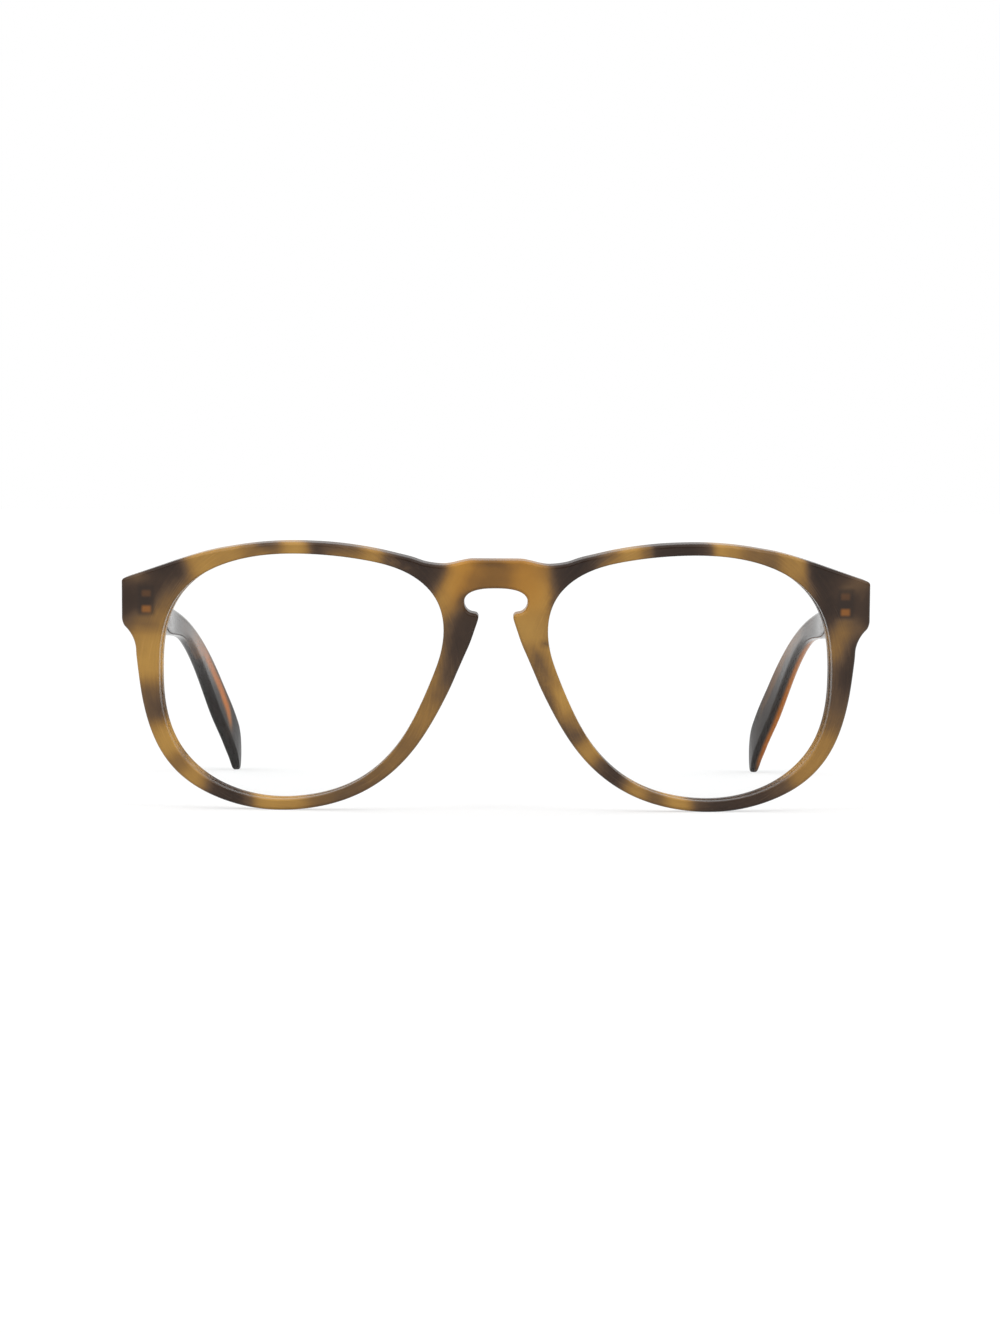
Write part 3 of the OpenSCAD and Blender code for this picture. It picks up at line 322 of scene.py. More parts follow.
# The front's patches, placed from the photograph, with tones from dark 0 to amber 1
FRONT_PATCHES = [
    # right end piece
    [-64, 46.2, 4.4, 2.2, 20, 0.0], [-61, 45.7, 1.6, 2.6, 40, 0.05], [-70.3, 40.2, 1.5, 4.6, 0, 0.05],
    [-68.5, 44.1, 2.4, 1.1, 20, 0.6], [-66.4, 43.6, 1.8, 1.0, 10, 0.3], [-64.7, 43.1, 2.4, 2.2, 0, 0.05],
    [-67, 39.9, 1.6, 2.6, 0, 0.1], [-63.3, 40.4, 1.3, 3.0, -20, 0.6], [-61.8, 42.8, 0.9, 2.2, -30, 0.35],
    [-59.8, 42.1, 1.2, 2.6, -45, 0.7], [-67.4, 36.6, 2.2, 1.1, 0, 0.6], [-64.5, 36.7, 1.9, 2.0, 0, 0.75],
    [-67.1, 34.7, 2.4, 0.8, 0, 0.5],
    # right side and bottom
    [-66.1, 31.5, 3.4, 2.4, 0, 0.95], [-66.4, 27.6, 3.4, 3.2, 0, 1.0], [-65.8, 21.2, 3.4, 2.4, 0, 0.4],
    [-64.7, 18.9, 1.8, 2.2, 0, 0.25], [-62.8, 13.1, 3.2, 3.0, 35, 1.0], [-60.5, 9.1, 3.0, 1.3, 40, 0.55],
    [-57.2, 5.6, 2.8, 2.6, 45, 0.95], [-53.4, 3.9, 2.0, 2.8, 20, 0.05], [-49.9, 2.7, 2.4, 2.8, 10, 0.05],
    [-47.6, 2.0, 1.2, 2.6, 0, 0.3], [-43.5, 1.3, 2.8, 2.8, 0, 1.0], [-38.9, 1.4, 2.8, 2.8, 0, 0.9],
    [-33.2, 2.4, 2.6, 2.8, -8, 0.5], [-28.7, 3.8, 3.0, 2.8, -20, 0.4], [-24, 6.4, 3.0, 3.0, -35, 0.5],
    [-18.6, 12.1, 3.6, 3.0, -55, 0.6], [-13.6, 19.9, 4.0, 3.0, -62, 0.7],
    # right top
    [-56.7, 47.8, 2.4, 3.6, 20, 1.0], [-52.1, 49.6, 3.0, 3.4, 12, 0.9], [-46.7, 50.7, 1.6, 3.0, 5, 0.6],
    [-44, 51.6, 2.2, 0.7, 0, 0.2], [-42.7, 50.6, 1.6, 1.4, 0, 0.4], [-44.4, 49.8, 2.0, 0.8, -5, 0.8],
    [-38.5, 51.1, 2.4, 3.4, 0, 1.0], [-34.1, 51.4, 1.2, 3.0, 0, 0.1], [-30.6, 52.0, 3.4, 0.9, -3, 0.05],
    [-28.6, 50.5, 3.4, 0.9, -5, 0.7], [-29.5, 51.2, 2.6, 0.8, -4, 0.4], [-23.4, 50.5, 2.0, 3.0, -8, 0.9],
    [-20, 49.4, 1.2, 2.4, -15, 0.3], [-18.9, 48.1, 2.6, 0.5, -22, 0.6], [-17, 48.7, 2.4, 1.8, -20, 0.05],
    [-13.4, 47.7, 2.6, 2.6, -20, 0.0], [-10.5, 47.4, 1.2, 2.4, -30, 0.1],
    # bridge and nose
    [-7.5, 47.6, 1.8, 2.4, 0, 1.0], [-9, 43.7, 1.7, 2.8, 10, 1.0], [-9.3, 40.3, 1.2, 2.0, -10, 0.9],
    [-5.6, 47.6, 1.8, 1.0, 0, 0.95], [-4.1, 45.9, 0.9, 2.8, -38, 0.6], [-6.4, 41.3, 0.8, 1.2, -40, 0.3],
    [-0.7, 48.3, 2.6, 0.7, 0, 0.4], [-0.9, 46.9, 3.0, 0.5, 0, 0.6], [-0.9, 45.3, 2.8, 1.3, 0, 0.55],
    [3.1, 48.7, 2.2, 0.5, -4, 0.75], [5.8, 46.2, 2.2, 2.0, 0, 0.85], [8.6, 43.0, 1.6, 3.0, 5, 0.95],
    [9.6, 46.8, 1.2, 2.0, 0, 0.8], [5.8, 35.7, 1.6, 3.2, 12, 0.95], [8.2, 37.6, 1.4, 2.4, 0, 0.85],
    [-5.6, 37.2, 2.2, 2.4, 0, 0.1], [-6.9, 32.8, 1.8, 3.0, -20, 0.12], [-8.3, 29.1, 1.2, 1.8, -20, 0.2],
    [-9.2, 36.3, 0.8, 2.6, -8, 0.45], [-10.6, 30.7, 0.9, 2.6, -18, 0.6], [-11.9, 25.8, 1.2, 2.4, -25, 0.7],
    [-9.2, 26.4, 0.9, 2.6, -28, 0.3], [-11, 22.8, 1.0, 1.6, -28, 0.5], [11.5, 45.6, 0.9, 2.4, 20, 0.3],
    [12.6, 44.9, 1.3, 3.0, 25, 0.05], [10.7, 41.0, 0.6, 2.4, -5, 0.3], [9.7, 33.1, 0.3, 0.3, 0, 0.3],
    [6, 30.9, 0.9, 1.8, 20, 0.7], [7.9, 30.1, 0.8, 1.8, 25, 0.35], [9.6, 27.6, 0.9, 1.6, 30, 0.45],
    [9.8, 24.1, 0.7, 1.6, 30, 0.5], [11.5, 26.8, 1.1, 2.4, 20, 0.85], [12.6, 22.6, 1.4, 2.6, 22, 1.0],
    [10.7, 21.6, 0.8, 2.2, 25, 0.4],
    # left nose edge and bottom
    [14.7, 15.8, 1.8, 2.0, 32, 0.35], [15.5, 17.9, 1.0, 1.4, 30, 0.7], [18, 11.7, 2.2, 2.2, 40, 0.95],
    [20.7, 8.6, 1.3, 2.4, 40, 0.3], [22.8, 7.8, 2.2, 2.6, 32, 0.1], [27, 4.4, 2.0, 2.6, 22, 0.9],
    [30.6, 3.0, 1.5, 2.6, 15, 0.45], [35.8, 1.5, 2.6, 2.6, 5, 1.0], [39.7, 1.2, 1.6, 2.6, 0, 0.2],
    [43.3, 1.5, 3.0, 2.6, -5, 0.1], [49.7, 2.3, 3.4, 2.6, -15, 0.15], [54.1, 4.3, 2.4, 2.4, -28, 0.3],
    [59.5, 7.6, 2.6, 3.0, -45, 0.8], [63.1, 12.3, 2.6, 3.0, -60, 0.8],
    # left side
    [64.8, 17.5, 3.0, 2.4, 0, 0.45], [65.6, 21.4, 2.4, 2.4, 0, 0.35], [67.3, 26.0, 2.0, 3.4, 0, 0.05],
    [64.8, 26.5, 1.2, 2.8, 0, 0.4], [69, 30.2, 1.2, 2.6, -10, 0.1], [65.3, 30.7, 1.6, 2.4, 0, 0.7],
    [66.2, 34.6, 1.8, 1.8, 0, 0.7], [66.8, 36.3, 1.6, 1.0, 0, 0.6],
    # left end piece
    [69.4, 35.2, 1.4, 1.2, 0, 0.45], [64.3, 37.7, 1.4, 2.2, 0, 0.1], [63.7, 40.8, 1.8, 3.4, 0, 0.0],
    [67.4, 39.5, 2.2, 2.6, 0, 0.1], [70.9, 39.0, 1.4, 3.4, 0, 0.05], [70.1, 41.4, 1.2, 3.0, 0, 0.35],
    [67.7, 43.0, 3.2, 1.3, 18, 0.45], [65, 44.3, 1.8, 0.9, 20, 0.2], [62.3, 45.5, 3.0, 1.6, 20, 0.0],
    [61.3, 46.3, 1.4, 3.0, 20, 0.0],
    # left top
    [58.2, 46.8, 1.5, 3.4, 15, 0.9], [55.7, 47.4, 1.8, 3.0, 10, 0.85], [52.6, 48.3, 1.8, 3.0, 8, 0.45],
    [48.8, 49.7, 2.0, 3.0, 6, 0.6], [45.5, 50.2, 1.6, 3.0, 4, 0.85], [42.8, 50.6, 1.6, 3.2, 0, 1.0],
    [39.8, 50.9, 1.2, 3.0, 0, 0.2], [35.9, 50.9, 3.2, 3.0, 0, 0.05], [31.6, 50.8, 1.6, 3.0, 0, 0.1],
    [28.9, 50.7, 1.0, 3.0, 0, 0.6], [25.7, 50.1, 2.0, 3.0, 0, 0.95], [21.5, 48.6, 2.4, 0.8, 15, 0.8],
    [20.7, 50.0, 1.8, 1.0, 15, 0.45], [18.7, 49.2, 1.4, 1.0, 15, 0.2], [16.4, 48.1, 2.6, 1.8, 22, 0.0],
    [13.3, 46.6, 1.8, 2.4, 25, 0.0],
]


# How far the front's pattern moves sideways for each millimetre into the sheet
SLANT = 0.35


def front_tone(p, w):
    """The tone at the place p of the front and the depth w."""
    place = np.column_stack([p[:, 0] + SLANT * w, p[:, 1], w])
    return patch_tone(place, FRONT_PATCHES, base=0.5, pull=0.002, wobble=0.25, seed=3)


# Mesh making

def store(mesh, name, values):
    """Keeps one number for each point of the mesh, for its material to read."""
    mesh.attributes.new(name, "FLOAT", "POINT").data.foreach_set("value", np.asarray(values, np.float32))


def make_mesh(name, points, faces, tone=None, loop_normals=None):
    """A piece from points in millimetres, held inside the box of the CAD model."""
    mesh = bpy.data.meshes.new(name)
    inside_box = np.clip(np.asarray(points) * MM, *cad_box)
    mesh.from_pydata(inside_box.tolist(), [], [list(map(int, f)) for f in faces])
    mesh.polygons.foreach_set("use_smooth", [True] * len(mesh.polygons))
    if tone is not None:
        store(mesh, "tone", tone)
    if loop_normals is not None:
        mesh.normals_split_custom_set(np.asarray(loop_normals).tolist())
    made = bpy.data.objects.new(name, mesh)
    bpy.context.scene.collection.objects.link(made)
    return made


def tube(count, around):
    """The indices of count rings of points, and the quads between the rings."""
    index = np.arange(count * around).reshape(count, around)
    a, b = index[:-1], index[1:]
    return index, np.stack([a, np.roll(a, -1, 1), np.roll(b, -1, 1), b], -1).reshape(-1, 4).tolist()


def closed_tube(count, around):
    """The faces of a tube with both ends closed."""
    index, quads = tube(count, around)
    return quads + [index[0][::-1].tolist(), index[-1].tolist()]


def turn_for(mirror, faces):
    """The faces, turned round for a mirrored piece."""
    return [f[::-1] for f in faces] if mirror < 0 else faces


class Builder:
    """Collects points, faces and a normal for each corner of each face."""

    def __init__(self):
        self.points, self.flat, self.depth, self.normals = [], [], [], []
        self.faces, self.corners = [], []
        self.count = 0

    def add(self, p, w, normal):
        """Adds places p of the front at depth w and gives their indices."""
        w = np.broadcast_to(np.asarray(w, float), (len(p),))
        self.points.append(stand(wrap(p, w)))
        self.flat.append(p)
        self.depth.append(w)
        self.normals.append(turn_up(unit(normal)))
        self.count += len(p)
        return np.arange(self.count - len(p), self.count)

    def strip(self, a, b, sharp=False):
        """Quads between two closed rows of indices."""
        points = np.concatenate(self.points)
        normals = np.concatenate(self.normals)
        quads = np.stack([a, np.roll(a, -1), np.roll(b, -1), b], -1)
        cross = np.cross(points[quads[:, 1]] - points[quads[:, 0]], points[quads[:, 3]] - points[quads[:, 0]])
        facing = (cross * (normals[quads[:, 0]] + normals[quads[:, 3]])).sum()
        if facing < 0:
            quads, cross = quads[:, ::-1], -cross
        self.faces += quads.tolist()
        if sharp:
            self.corners += np.repeat(unit(cross), 4, axis=0).tolist()
        else:
            self.corners += normals[quads].reshape(-1, 3).tolist()


def inside(p, loop):
    """Which of the points p lie inside the closed loop."""
    a, b = loop, np.roll(loop, -1, axis=0)
    hit = np.zeros(len(p), bool)
    for (ax, ay), (bx, by) in zip(a, b):
        crosses = (ay > p[:, 1]) != (by > p[:, 1])
        if crosses.any():
            x = ax + (p[:, 1] - ay) / (by - ay if by != ay else 1e-12) * (bx - ax)
            hit ^= crosses & (p[:, 0] < x)
    return hit


# Turns round a rounded edge of the front, from its face to its side
ROUNDING = np.radians(np.linspace(0, 90, 7))


def add_edge(build):
    """The outer edge with its rounding. Gives the rows that border the front and the back face."""
    edge = outline()
    into = left_of(np.roll(edge, -1, axis=0) - np.roll(edge, 1, axis=0))

    def edge_row(theta, front):
        w = EDGE_R * (1 - math.cos(theta))
        p = edge + EDGE_R * (1 - math.sin(theta)) * into
        side = -math.sin(theta) * into
        back = -math.cos(theta) if front else math.cos(theta)
        return build.add(p, w if front else FRONT_T - w, wrap_normal(p, side[:, 0], side[:, 1], back))

    rows = [edge_row(t, True) for t in ROUNDING] + [edge_row(t, False) for t in ROUNDING[::-1]]
    for a, b in zip(rows, rows[1:]):
        build.strip(a, b)
    return rows[0], rows[-1]


def add_opening(build, mirror):
    """A lens opening with its lips and groove. Gives the rows that border the front and the back face."""
    angles, flip = np.arange(0, 360, 1.0), np.array([mirror, 1])
    rim_p, out = opening(angles) * flip, opening_out(angles) * flip

    def lip_row(inset, w, theta, back):
        p = rim_p + inset * out
        side = -math.sin(theta) * out
        return build.add(p, w, wrap_normal(p, side[:, 0], side[:, 1], back))

    def lip(t, front):
        inset, w = LIP_R * (1 - math.sin(t)), LIP_R * (1 - math.cos(t))
        return lip_row(inset, w if front else FRONT_T - w, t, -math.cos(t) if front else math.cos(t))

    rows = [lip(t, True) for t in ROUNDING]
    mid, straight = FRONT_T / 2, math.pi / 2
    groove = [
        lip_row(0, mid - LENS_T / 2, straight, 0), lip_row(GROOVE_D, mid, straight, 0),
        lip_row(0, mid + LENS_T / 2, straight, 0),
    ]
    back_rows = [lip(t, False) for t in ROUNDING[::-1]]
    for a, b in zip(rows, rows[1:]):
        build.strip(a, b)
    build.strip(rows[-1], groove[0])
    build.strip(groove[0], groove[1], sharp=True)
    build.strip(groove[1], groove[2], sharp=True)
    build.strip(groove[2], back_rows[0])
    for a, b in zip(back_rows, back_rows[1:]):
        build.strip(a, b)
    return rows[0], back_rows[-1]


def on_sheet(p, loops):
    """Which of the points p lie inside the outer edge and outside both openings."""
    return inside(p, loops[0]) & ~inside(p, loops[1]) & ~inside(p, loops[2])


def sheet_grid(loops, border):
    """Points of a staggered grid on the sheet, clear of its borders."""
    gx, gy = np.meshgrid(np.arange(*GRID_X, GRID_STEP), np.arange(*GRID_Y, GRID_STEP))
    stagger = (np.arange(len(gx)) % 2 * GRID_STEP / 2)[:, None]
    grid = np.column_stack([(gx + stagger).ravel(), gy.ravel()])
    grid = grid[on_sheet(grid, loops)]
    tree = KDTree(len(border))
    for i, p in enumerate(border):
        tree.insert((p[0], p[1], 0), i)
    tree.balance()
    return np.array([p for p in grid if tree.find((p[0], p[1], 0))[2] > GRID_GAP])


def add_faces(build, borders):
    """The front and back faces between the borders, as triangles over an even grid."""
    flat = np.concatenate(build.flat)
    loops = [flat[front_row] for front_row, _ in borders]
    border = np.concatenate(loops)
    grid = sheet_grid(loops, border)
    ties, start = [], 0
    for loop in loops:
        ties += [(start + i, start + (i + 1) % len(loop)) for i in range(len(loop))]
        start += len(loop)
    seeds = np.concatenate([border, grid])
    _, _, tris, sources, _, _ = delaunay_2d_cdt([Vector(p) for p in seeds], ties, [], 0, 1e-6)
    # sources gives each point's places in seeds
    source = np.array([s[0] for s in sources])
    tris = source[np.array(tris)]
    tris = tris[on_sheet(seeds[tris].mean(1), loops)]
    level = 0 * grid[:, 0]
    for side, facing in ((0, -1), (1, 1)):
        inner = build.add(grid, FRONT_T * side, wrap_normal(grid, level, level, facing))
        index = np.concatenate([rows[side] for rows in borders] + [inner])
        cap = index[tris]
        points, normals = np.concatenate(build.points), np.concatenate(build.normals)
        cross = np.cross(points[cap[:, 1]] - points[cap[:, 0]], points[cap[:, 2]] - points[cap[:, 0]])
        turned = (cross * normals[cap[:, 0]]).sum(-1) < 0
        cap[turned] = cap[turned][:, ::-1]
        build.faces += cap.tolist()
        build.corners += normals[cap].reshape(-1, 3).tolist()


def build_front():
    """The front: its outer edge, both openings with their grooves, and both faces."""
    build = Builder()
    borders = [add_edge(build), add_opening(build, 1), add_opening(build, -1)]
    add_faces(build, borders)
    flat, depth = np.concatenate(build.flat), np.concatenate(build.depth)
    tone = front_tone(flat, depth)
    made = make_mesh("front_acetate", np.concatenate(build.points), build.faces, tone, build.corners)
    store(made.data, "depth", depth / FRONT_T)
    return made


# The temples

temple_out_x = end_x * (WRAP_R - FRONT_T) / WRAP_R - SIDE_STEP
temple_in_x = temple_out_x - TEMPLE_T
temple_top = end_high - TOP_STEP
bend_a = math.radians(BEND_A)
bend_l = BEND_R * bend_a
temple_l = STRAIGHT_L + bend_l + EAR_L


def back_y(x):
    """How far back the front's rear face is at x."""
    return WRAP_R - np.sqrt((WRAP_R - FRONT_T) ** 2 - x * x)


temple_y = back_y(temple_in_x + TEMPLE_T / 2) + BUTT_GAP


def top_edge(s):
    """The top edge at lengths s as y, up and slope."""
    a = PANTO_A + np.clip(s - STRAIGHT_L, 0, bend_l) / BEND_R
    s0, s1 = np.minimum(s, STRAIGHT_L), np.maximum(0, s - STRAIGHT_L - bend_l)
    return (
        temple_y + s0 * math.cos(PANTO_A) + BEND_R * (np.sin(a) - math.sin(PANTO_A)) + s1 * np.cos(a),
        temple_top - s0 * math.sin(PANTO_A) - BEND_R * (math.cos(PANTO_A) - np.cos(a)) - s1 * np.sin(a),
        a,
    )


# Along a temple's length: its depth, its thickness and where its inner face is
DEPTH = [
    [0, TEMPLE_DEEP - 0.2], [20, TEMPLE_DEEP], [SCOOP_L - 8, TEMPLE_DEEP], [SCOOP_L - 1.5, TEMPLE_DEEP - 0.3],
    [SCOOP_L + 3, TEMPLE_WAIST], [STRAIGHT_L, TEMPLE_WAIST + 0.1], [STRAIGHT_L + 0.3 * bend_l, TEMPLE_NECK],
    [STRAIGHT_L + 0.8 * bend_l, TEMPLE_EAR - 0.4], [temple_l - TIP_R, TEMPLE_EAR],
]
THICKNESS = [
    [0, TEMPLE_T], [30, TEMPLE_T], [STRAIGHT_L, (TEMPLE_T + EAR_T) / 2], [STRAIGHT_L + 0.5 * bend_l, EAR_T],
    [temple_l - 2.5 * TIP_R, EAR_T - 0.1], [temple_l, 0.55 * EAR_T],
]
INNER_X = [
    [0, temple_in_x], [8, temple_in_x], [16, temple_in_x], [SCOOP_L, temple_in_x - 0.02 * TIP_IN],
    [STRAIGHT_L, temple_in_x - 0.045 * TIP_IN], [STRAIGHT_L + 0.28 * bend_l, temple_in_x - 0.26 * TIP_IN],
    [STRAIGHT_L + 0.8 * bend_l, temple_in_x - 0.7 * TIP_IN],
    [temple_l - 2 * TIP_R, temple_in_x - 0.965 * TIP_IN], [temple_l, temple_in_x - TIP_IN],
]


def temple_pt(s, q, p):
    """The point at length s, depth q below the top edge and distance p out from the inner face."""
    y, v, a = top_edge(s)
    b = np.arctan((through(INNER_X, s - 1) - through(INNER_X, s + 1)) / 2)
    return np.stack([
        through(INNER_X, s) + p * np.cos(b),
        y - q * np.sin(a) + p * np.sin(b) * np.cos(a),
        v - q * np.cos(a) - p * np.sin(b) * np.sin(a),
    ], -1)


def temple_sections():
    """Lengths, depths and distances out of the temple's dense sections."""
    ends = temple_l - TIP_R
    # The last section stays a little short of the end, where the tip would close to a point
    tip = ends + TIP_R * 0.999 * np.sin(np.linspace(0, math.pi / 2, TIP_ROWS))
    s = np.concatenate([np.linspace(0, ends, TEMPLE_ROWS)[:-1], tip])
    share = np.power(1 - np.power(np.clip((s - ends) / TIP_R, 0, 1), TIP_POW), 1 / TIP_POW)
    deep, t = through(DEPTH, s), through(THICKNESS, s)
    q0, q1 = deep * (1 - share) / 2, deep * (1 + share) / 2
    # The edges' radius, less where the temple is thin or the tip closes
    r = np.minimum(np.minimum(TEMPLE_EDGE_R, 0.35 * t), 0.45 * (q1 - q0))
    turns = [(math.sin(f), math.cos(f)) for f in np.linspace(0, math.pi / 2, 6)]
    flats = np.linspace(0, 1, 7)[1:-1]
    columns = [(q0 + r - r * sin, r - r * cos) for sin, cos in turns]
    columns += [(q0 + r - r * cos, t - r + r * sin) for sin, cos in turns]
    columns += [(q0 + r + (q1 - q0 - 2 * r) * f, t) for f in flats]
    columns += [(q1 - r + r * sin, t - r + r * cos) for sin, cos in turns]
    columns += [(q1 - r + r * cos, r - r * sin) for sin, cos in turns]
    columns += [(q1 - r - (q1 - q0 - 2 * r) * f, 0 * t) for f in flats]
    q, p = (np.stack(column, -1) for column in zip(*columns))
    return s, q, p


# Patches of the inner faces, as [length, depth, half length, half depth, tilt, tone]
TEMPLE_IN = {
    "temple_left": [
        [20, 4, 14, 6, 0, 0.2], [44, 3, 6, 5, 0, 0.6], [60, 3, 8, 6, 0, 0.1], [82, 1.5, 7, 2, 0, 0.25],
        [98, 1.4, 14, 1.1, 2, 0.55], [104, 5.0, 20, 1.0, 0, 0.08], [113, 2.9, 13, 1.1, 3, 0.5],
        [122, 1.5, 5, 1.0, 0, 0.3], [136, 4, 7, 6, 0, 0.05],
    ],
    "temple_right": [
        [20, 4, 14, 6, 0, 0.2], [40, 4, 5, 5, 0, 0.5], [62, 3, 8, 6, 0, 0.15], [86, 2, 5, 3, 0, 0.3],
        [96, 2.8, 5, 2.0, 0, 0.6], [104, 3.2, 7, 0.9, 0, 0.8], [113, 3.6, 7, 0.9, 2, 0.95],
        [121, 4.2, 4, 1.1, 4, 1.0], [126, 5.2, 2.8, 1.3, 15, 1.0], [104, 5.6, 12, 1.0, 0, 0.02],
        [118, 7.6, 7, 1.6, 4, 0.02], [112, 0.3, 16, 0.6, 2, 0.25], [132.5, 4.0, 2.2, 4.0, 0, 0.02],
        [138, 5, 6, 6, 0, 0.0],
    ],
}
# Tone of each temple's underside along its length
TEMPLE_UNDER = {
    "temple_left": [[0, 0.2], [56, 0.3], [72, 0.9], [120, 0.95], [136, 0.8], [144, 0.2]],
    "temple_right": [[0, 0.2], [60, 0.2], [78, 0.1], [120, 0.02], [144, 0.02]],
}
# Patches of both outer faces
TEMPLE_OUT = [
    [6, 4, 7, 6, 0, 0.05], [21, 3, 5, 6, 20, 0.9], [32, 5, 5, 5, 0, 0.15], [43, 3, 4.5, 5, -20, 0.95],
    [55, 4, 6, 5, 0, 0.05], [68, 2, 4, 4, 15, 0.85], [80, 3, 6, 5, 0, 0.1], [93, 4, 4, 5, 25, 0.9],
    [106, 4, 6, 6, 0, 0.03], [118, 3, 4, 5, -15, 0.8], [132, 4, 8, 7, 0, 0.04],
]


def temple_tone(name, mirror, place, t):
    """The tone at places [length, depth, distance out] of a temple that is t thick there."""
    s, q, p = place.T
    # out goes from the inner face to the outer one, low from the sides to the underside
    out = ease((p / t - 0.15) / 0.7)
    low = ease((q / through(DEPTH, s) - 0.88) / 0.08) * ease((p / t - 0.3) / 0.3)
    tone_in = patch_tone(place, TEMPLE_IN[name], base=0.16, pull=0.01, wobble=0.3, seed=11)
    tone_out = patch_tone(place, TEMPLE_OUT, base=0.3, pull=0.02, wobble=0.8, seed=17 + mirror)
    tone = tone_in * (1 - out) + tone_out * out
    return tone + (through(TEMPLE_UNDER[name], s) - tone) * low


def build_temple(name, mirror):
    """A temple with its recess for the hinge plate."""
    s, q, p = temple_sections()
    count, around = q.shape
    ss = np.repeat(s[:, None], around, axis=1)
    points = temple_pt(ss, q, p)
    # The first ring slides along the temple until it lies on the front's curved back
    slide = (back_y(points[0, :, 0]) + BUTT_GAP - points[0, :, 1]) / math.cos(PANTO_A)
    points[0] += slide[:, None] * np.array([0, math.cos(PANTO_A), -math.sin(PANTO_A)])
    points = stand(points.reshape(-1, 3)) * [mirror, 1, 1]
    place = np.column_stack([ss.ravel(), q.ravel(), p.ravel()])
    t = np.repeat(through(THICKNESS, s)[:, None], around, axis=1).ravel()
    faces = turn_for(mirror, closed_tube(count, around))
    made = make_mesh(name + "_acetate", points, faces, temple_tone(name, mirror, place, t))
    store(made.data, "along", place[:, 0] / temple_l)
    cut_plate(made, mirror)
    soften(made)
    return made


def prism(name, outline_2d, x0, x1, mirror):
    """A solid between x0 and x1 from an outline in y and up about the hinge's axis."""
    o = np.array(outline_2d, float)
    n = len(o)
    ends = [np.column_stack([np.full(n, x), o[:, 0] + axis_y, o[:, 1] + end_y]) for x in (x0, x1)]
    faces = [list(range(n))[::-1], list(range(n, 2 * n))]
    faces += [[i, (i + 1) % n, n + (i + 1) % n, n + i] for i in range(n)]
    return make_mesh(name, stand(np.concatenate(ends)) * [mirror, 1, 1], turn_for(mirror, faces))


def cut_plate(temple, mirror):
    """Cuts the recess of the hinge plate into the temple's inner face."""
    g, drop, far = SUNK_CLEAR, PLATE_L * math.tan(PANTO_A), PLATE_START + PLATE_L + SUNK_CLEAR
    near, tall, narrow = PLATE_START - g, HINGE_H / 2, HINGE_H / 3
    plate = [
        [near, -tall - g], [PLATE_START + PLATE_SQUARE_LOW, -tall - g],
        [far, -drop - narrow - g], [far, -drop + narrow + g],
        [PLATE_START + PLATE_SQUARE_HIGH, tall + g], [near, tall + g],
    ]
    tool = prism("plate_tool", plate, temple_in_x - 1, temple_in_x + PLATE_T + g, mirror)
    cut = temple.modifiers.new("plate_recess", "BOOLEAN")
    cut.operation, cut.solver, cut.object = "DIFFERENCE", "MANIFOLD", tool
    bpy.context.view_layer.update()
    mesh = bpy.data.meshes.new_from_object(temple.evaluated_get(bpy.context.evaluated_depsgraph_get()))
    temple.modifiers.clear()
    temple.data = mesh
    bpy.data.objects.remove(tool)


def soften(piece, degrees=38.0):
    """Smooth shading that keeps real corners sharp and flat faces flat."""
    piece.data.polygons.foreach_set("use_smooth", [True] * len(piece.data.polygons))
    piece.data.set_sharp_from_angle(angle=math.radians(degrees))
    weighted = piece.modifiers.new("even_normals", "WEIGHTED_NORMAL")
    weighted.keep_sharp = True


# Nose pads and lenses

def build_pad(name, mirror):
    """A pad along the nose edge of the rim, tall in its middle and splayed outward."""
    angles = np.linspace(*PAD_ANGLES, PAD_ROWS)
    u = np.linspace(0, 1, PAD_ROWS)
    h = PAD_H * np.sqrt(np.maximum(0.02, np.sin(math.pi * (0.03 + 0.94 * u))))
    k = np.minimum(1, (through(RIM_LOW, angles) - LIP_R - 0.15) / (PAD_W + 0.35))
    edge = rim(RIM_LOW, angles)
    into = left_of(rim(RIM_LOW, angles + 1) - rim(RIM_LOW, angles - 1))
    base = FRONT_T + CEMENT_T
    rows = []
    for i in range(PAD_ROWS):
        lean_out = PAD_SPLAY * h[i] / PAD_H
        # The pad's section as [into the acetate, depth], from the nose side over its ridge
        section = np.array([
            [0.35, base], [0.35 + 0.3 * lean_out, FRONT_T + 0.4 * h[i]],
            [0.5 + 0.75 * lean_out, FRONT_T + 0.75 * h[i]], [1.0 + lean_out, FRONT_T + 0.95 * h[i]],
            [1.7 + lean_out, FRONT_T + h[i]], [PAD_W - 0.3 + 0.6 * lean_out, FRONT_T + 0.9 * h[i]],
            [PAD_W + 0.2 + 0.3 * lean_out, FRONT_T + 0.6 * h[i]], [PAD_W + 0.35, base],
        ]) * [k[i], 1]
        fine = refine_open(section, 5)
        rows.append(wrap(edge[i] + fine[:, :1] * into[i], fine[:, 1]))
    around = len(rows[0])
    points = stand(np.array(rows).reshape(-1, 3)) * [mirror, 1, 1]
    flat = np.repeat(edge * [mirror, 1], around, axis=0)
    tone = 0.5 + 0.4 * front_tone(flat, np.full(len(flat), FRONT_T))
    made = make_mesh(name + "_acetate", points, turn_for(mirror, closed_tube(PAD_ROWS, around)), tone)
    soften(made, 50)
    return made


def refine_open(p, count):
    """An open curve through the points p with count steps between two of them."""
    n = len(p)
    t = np.linspace(0, n - 1, (n - 1) * count + 1)
    knots = [np.column_stack([np.arange(n), p[:, c]]) for c in (0, 1)]
    return np.column_stack([through(k, t) for k in knots])


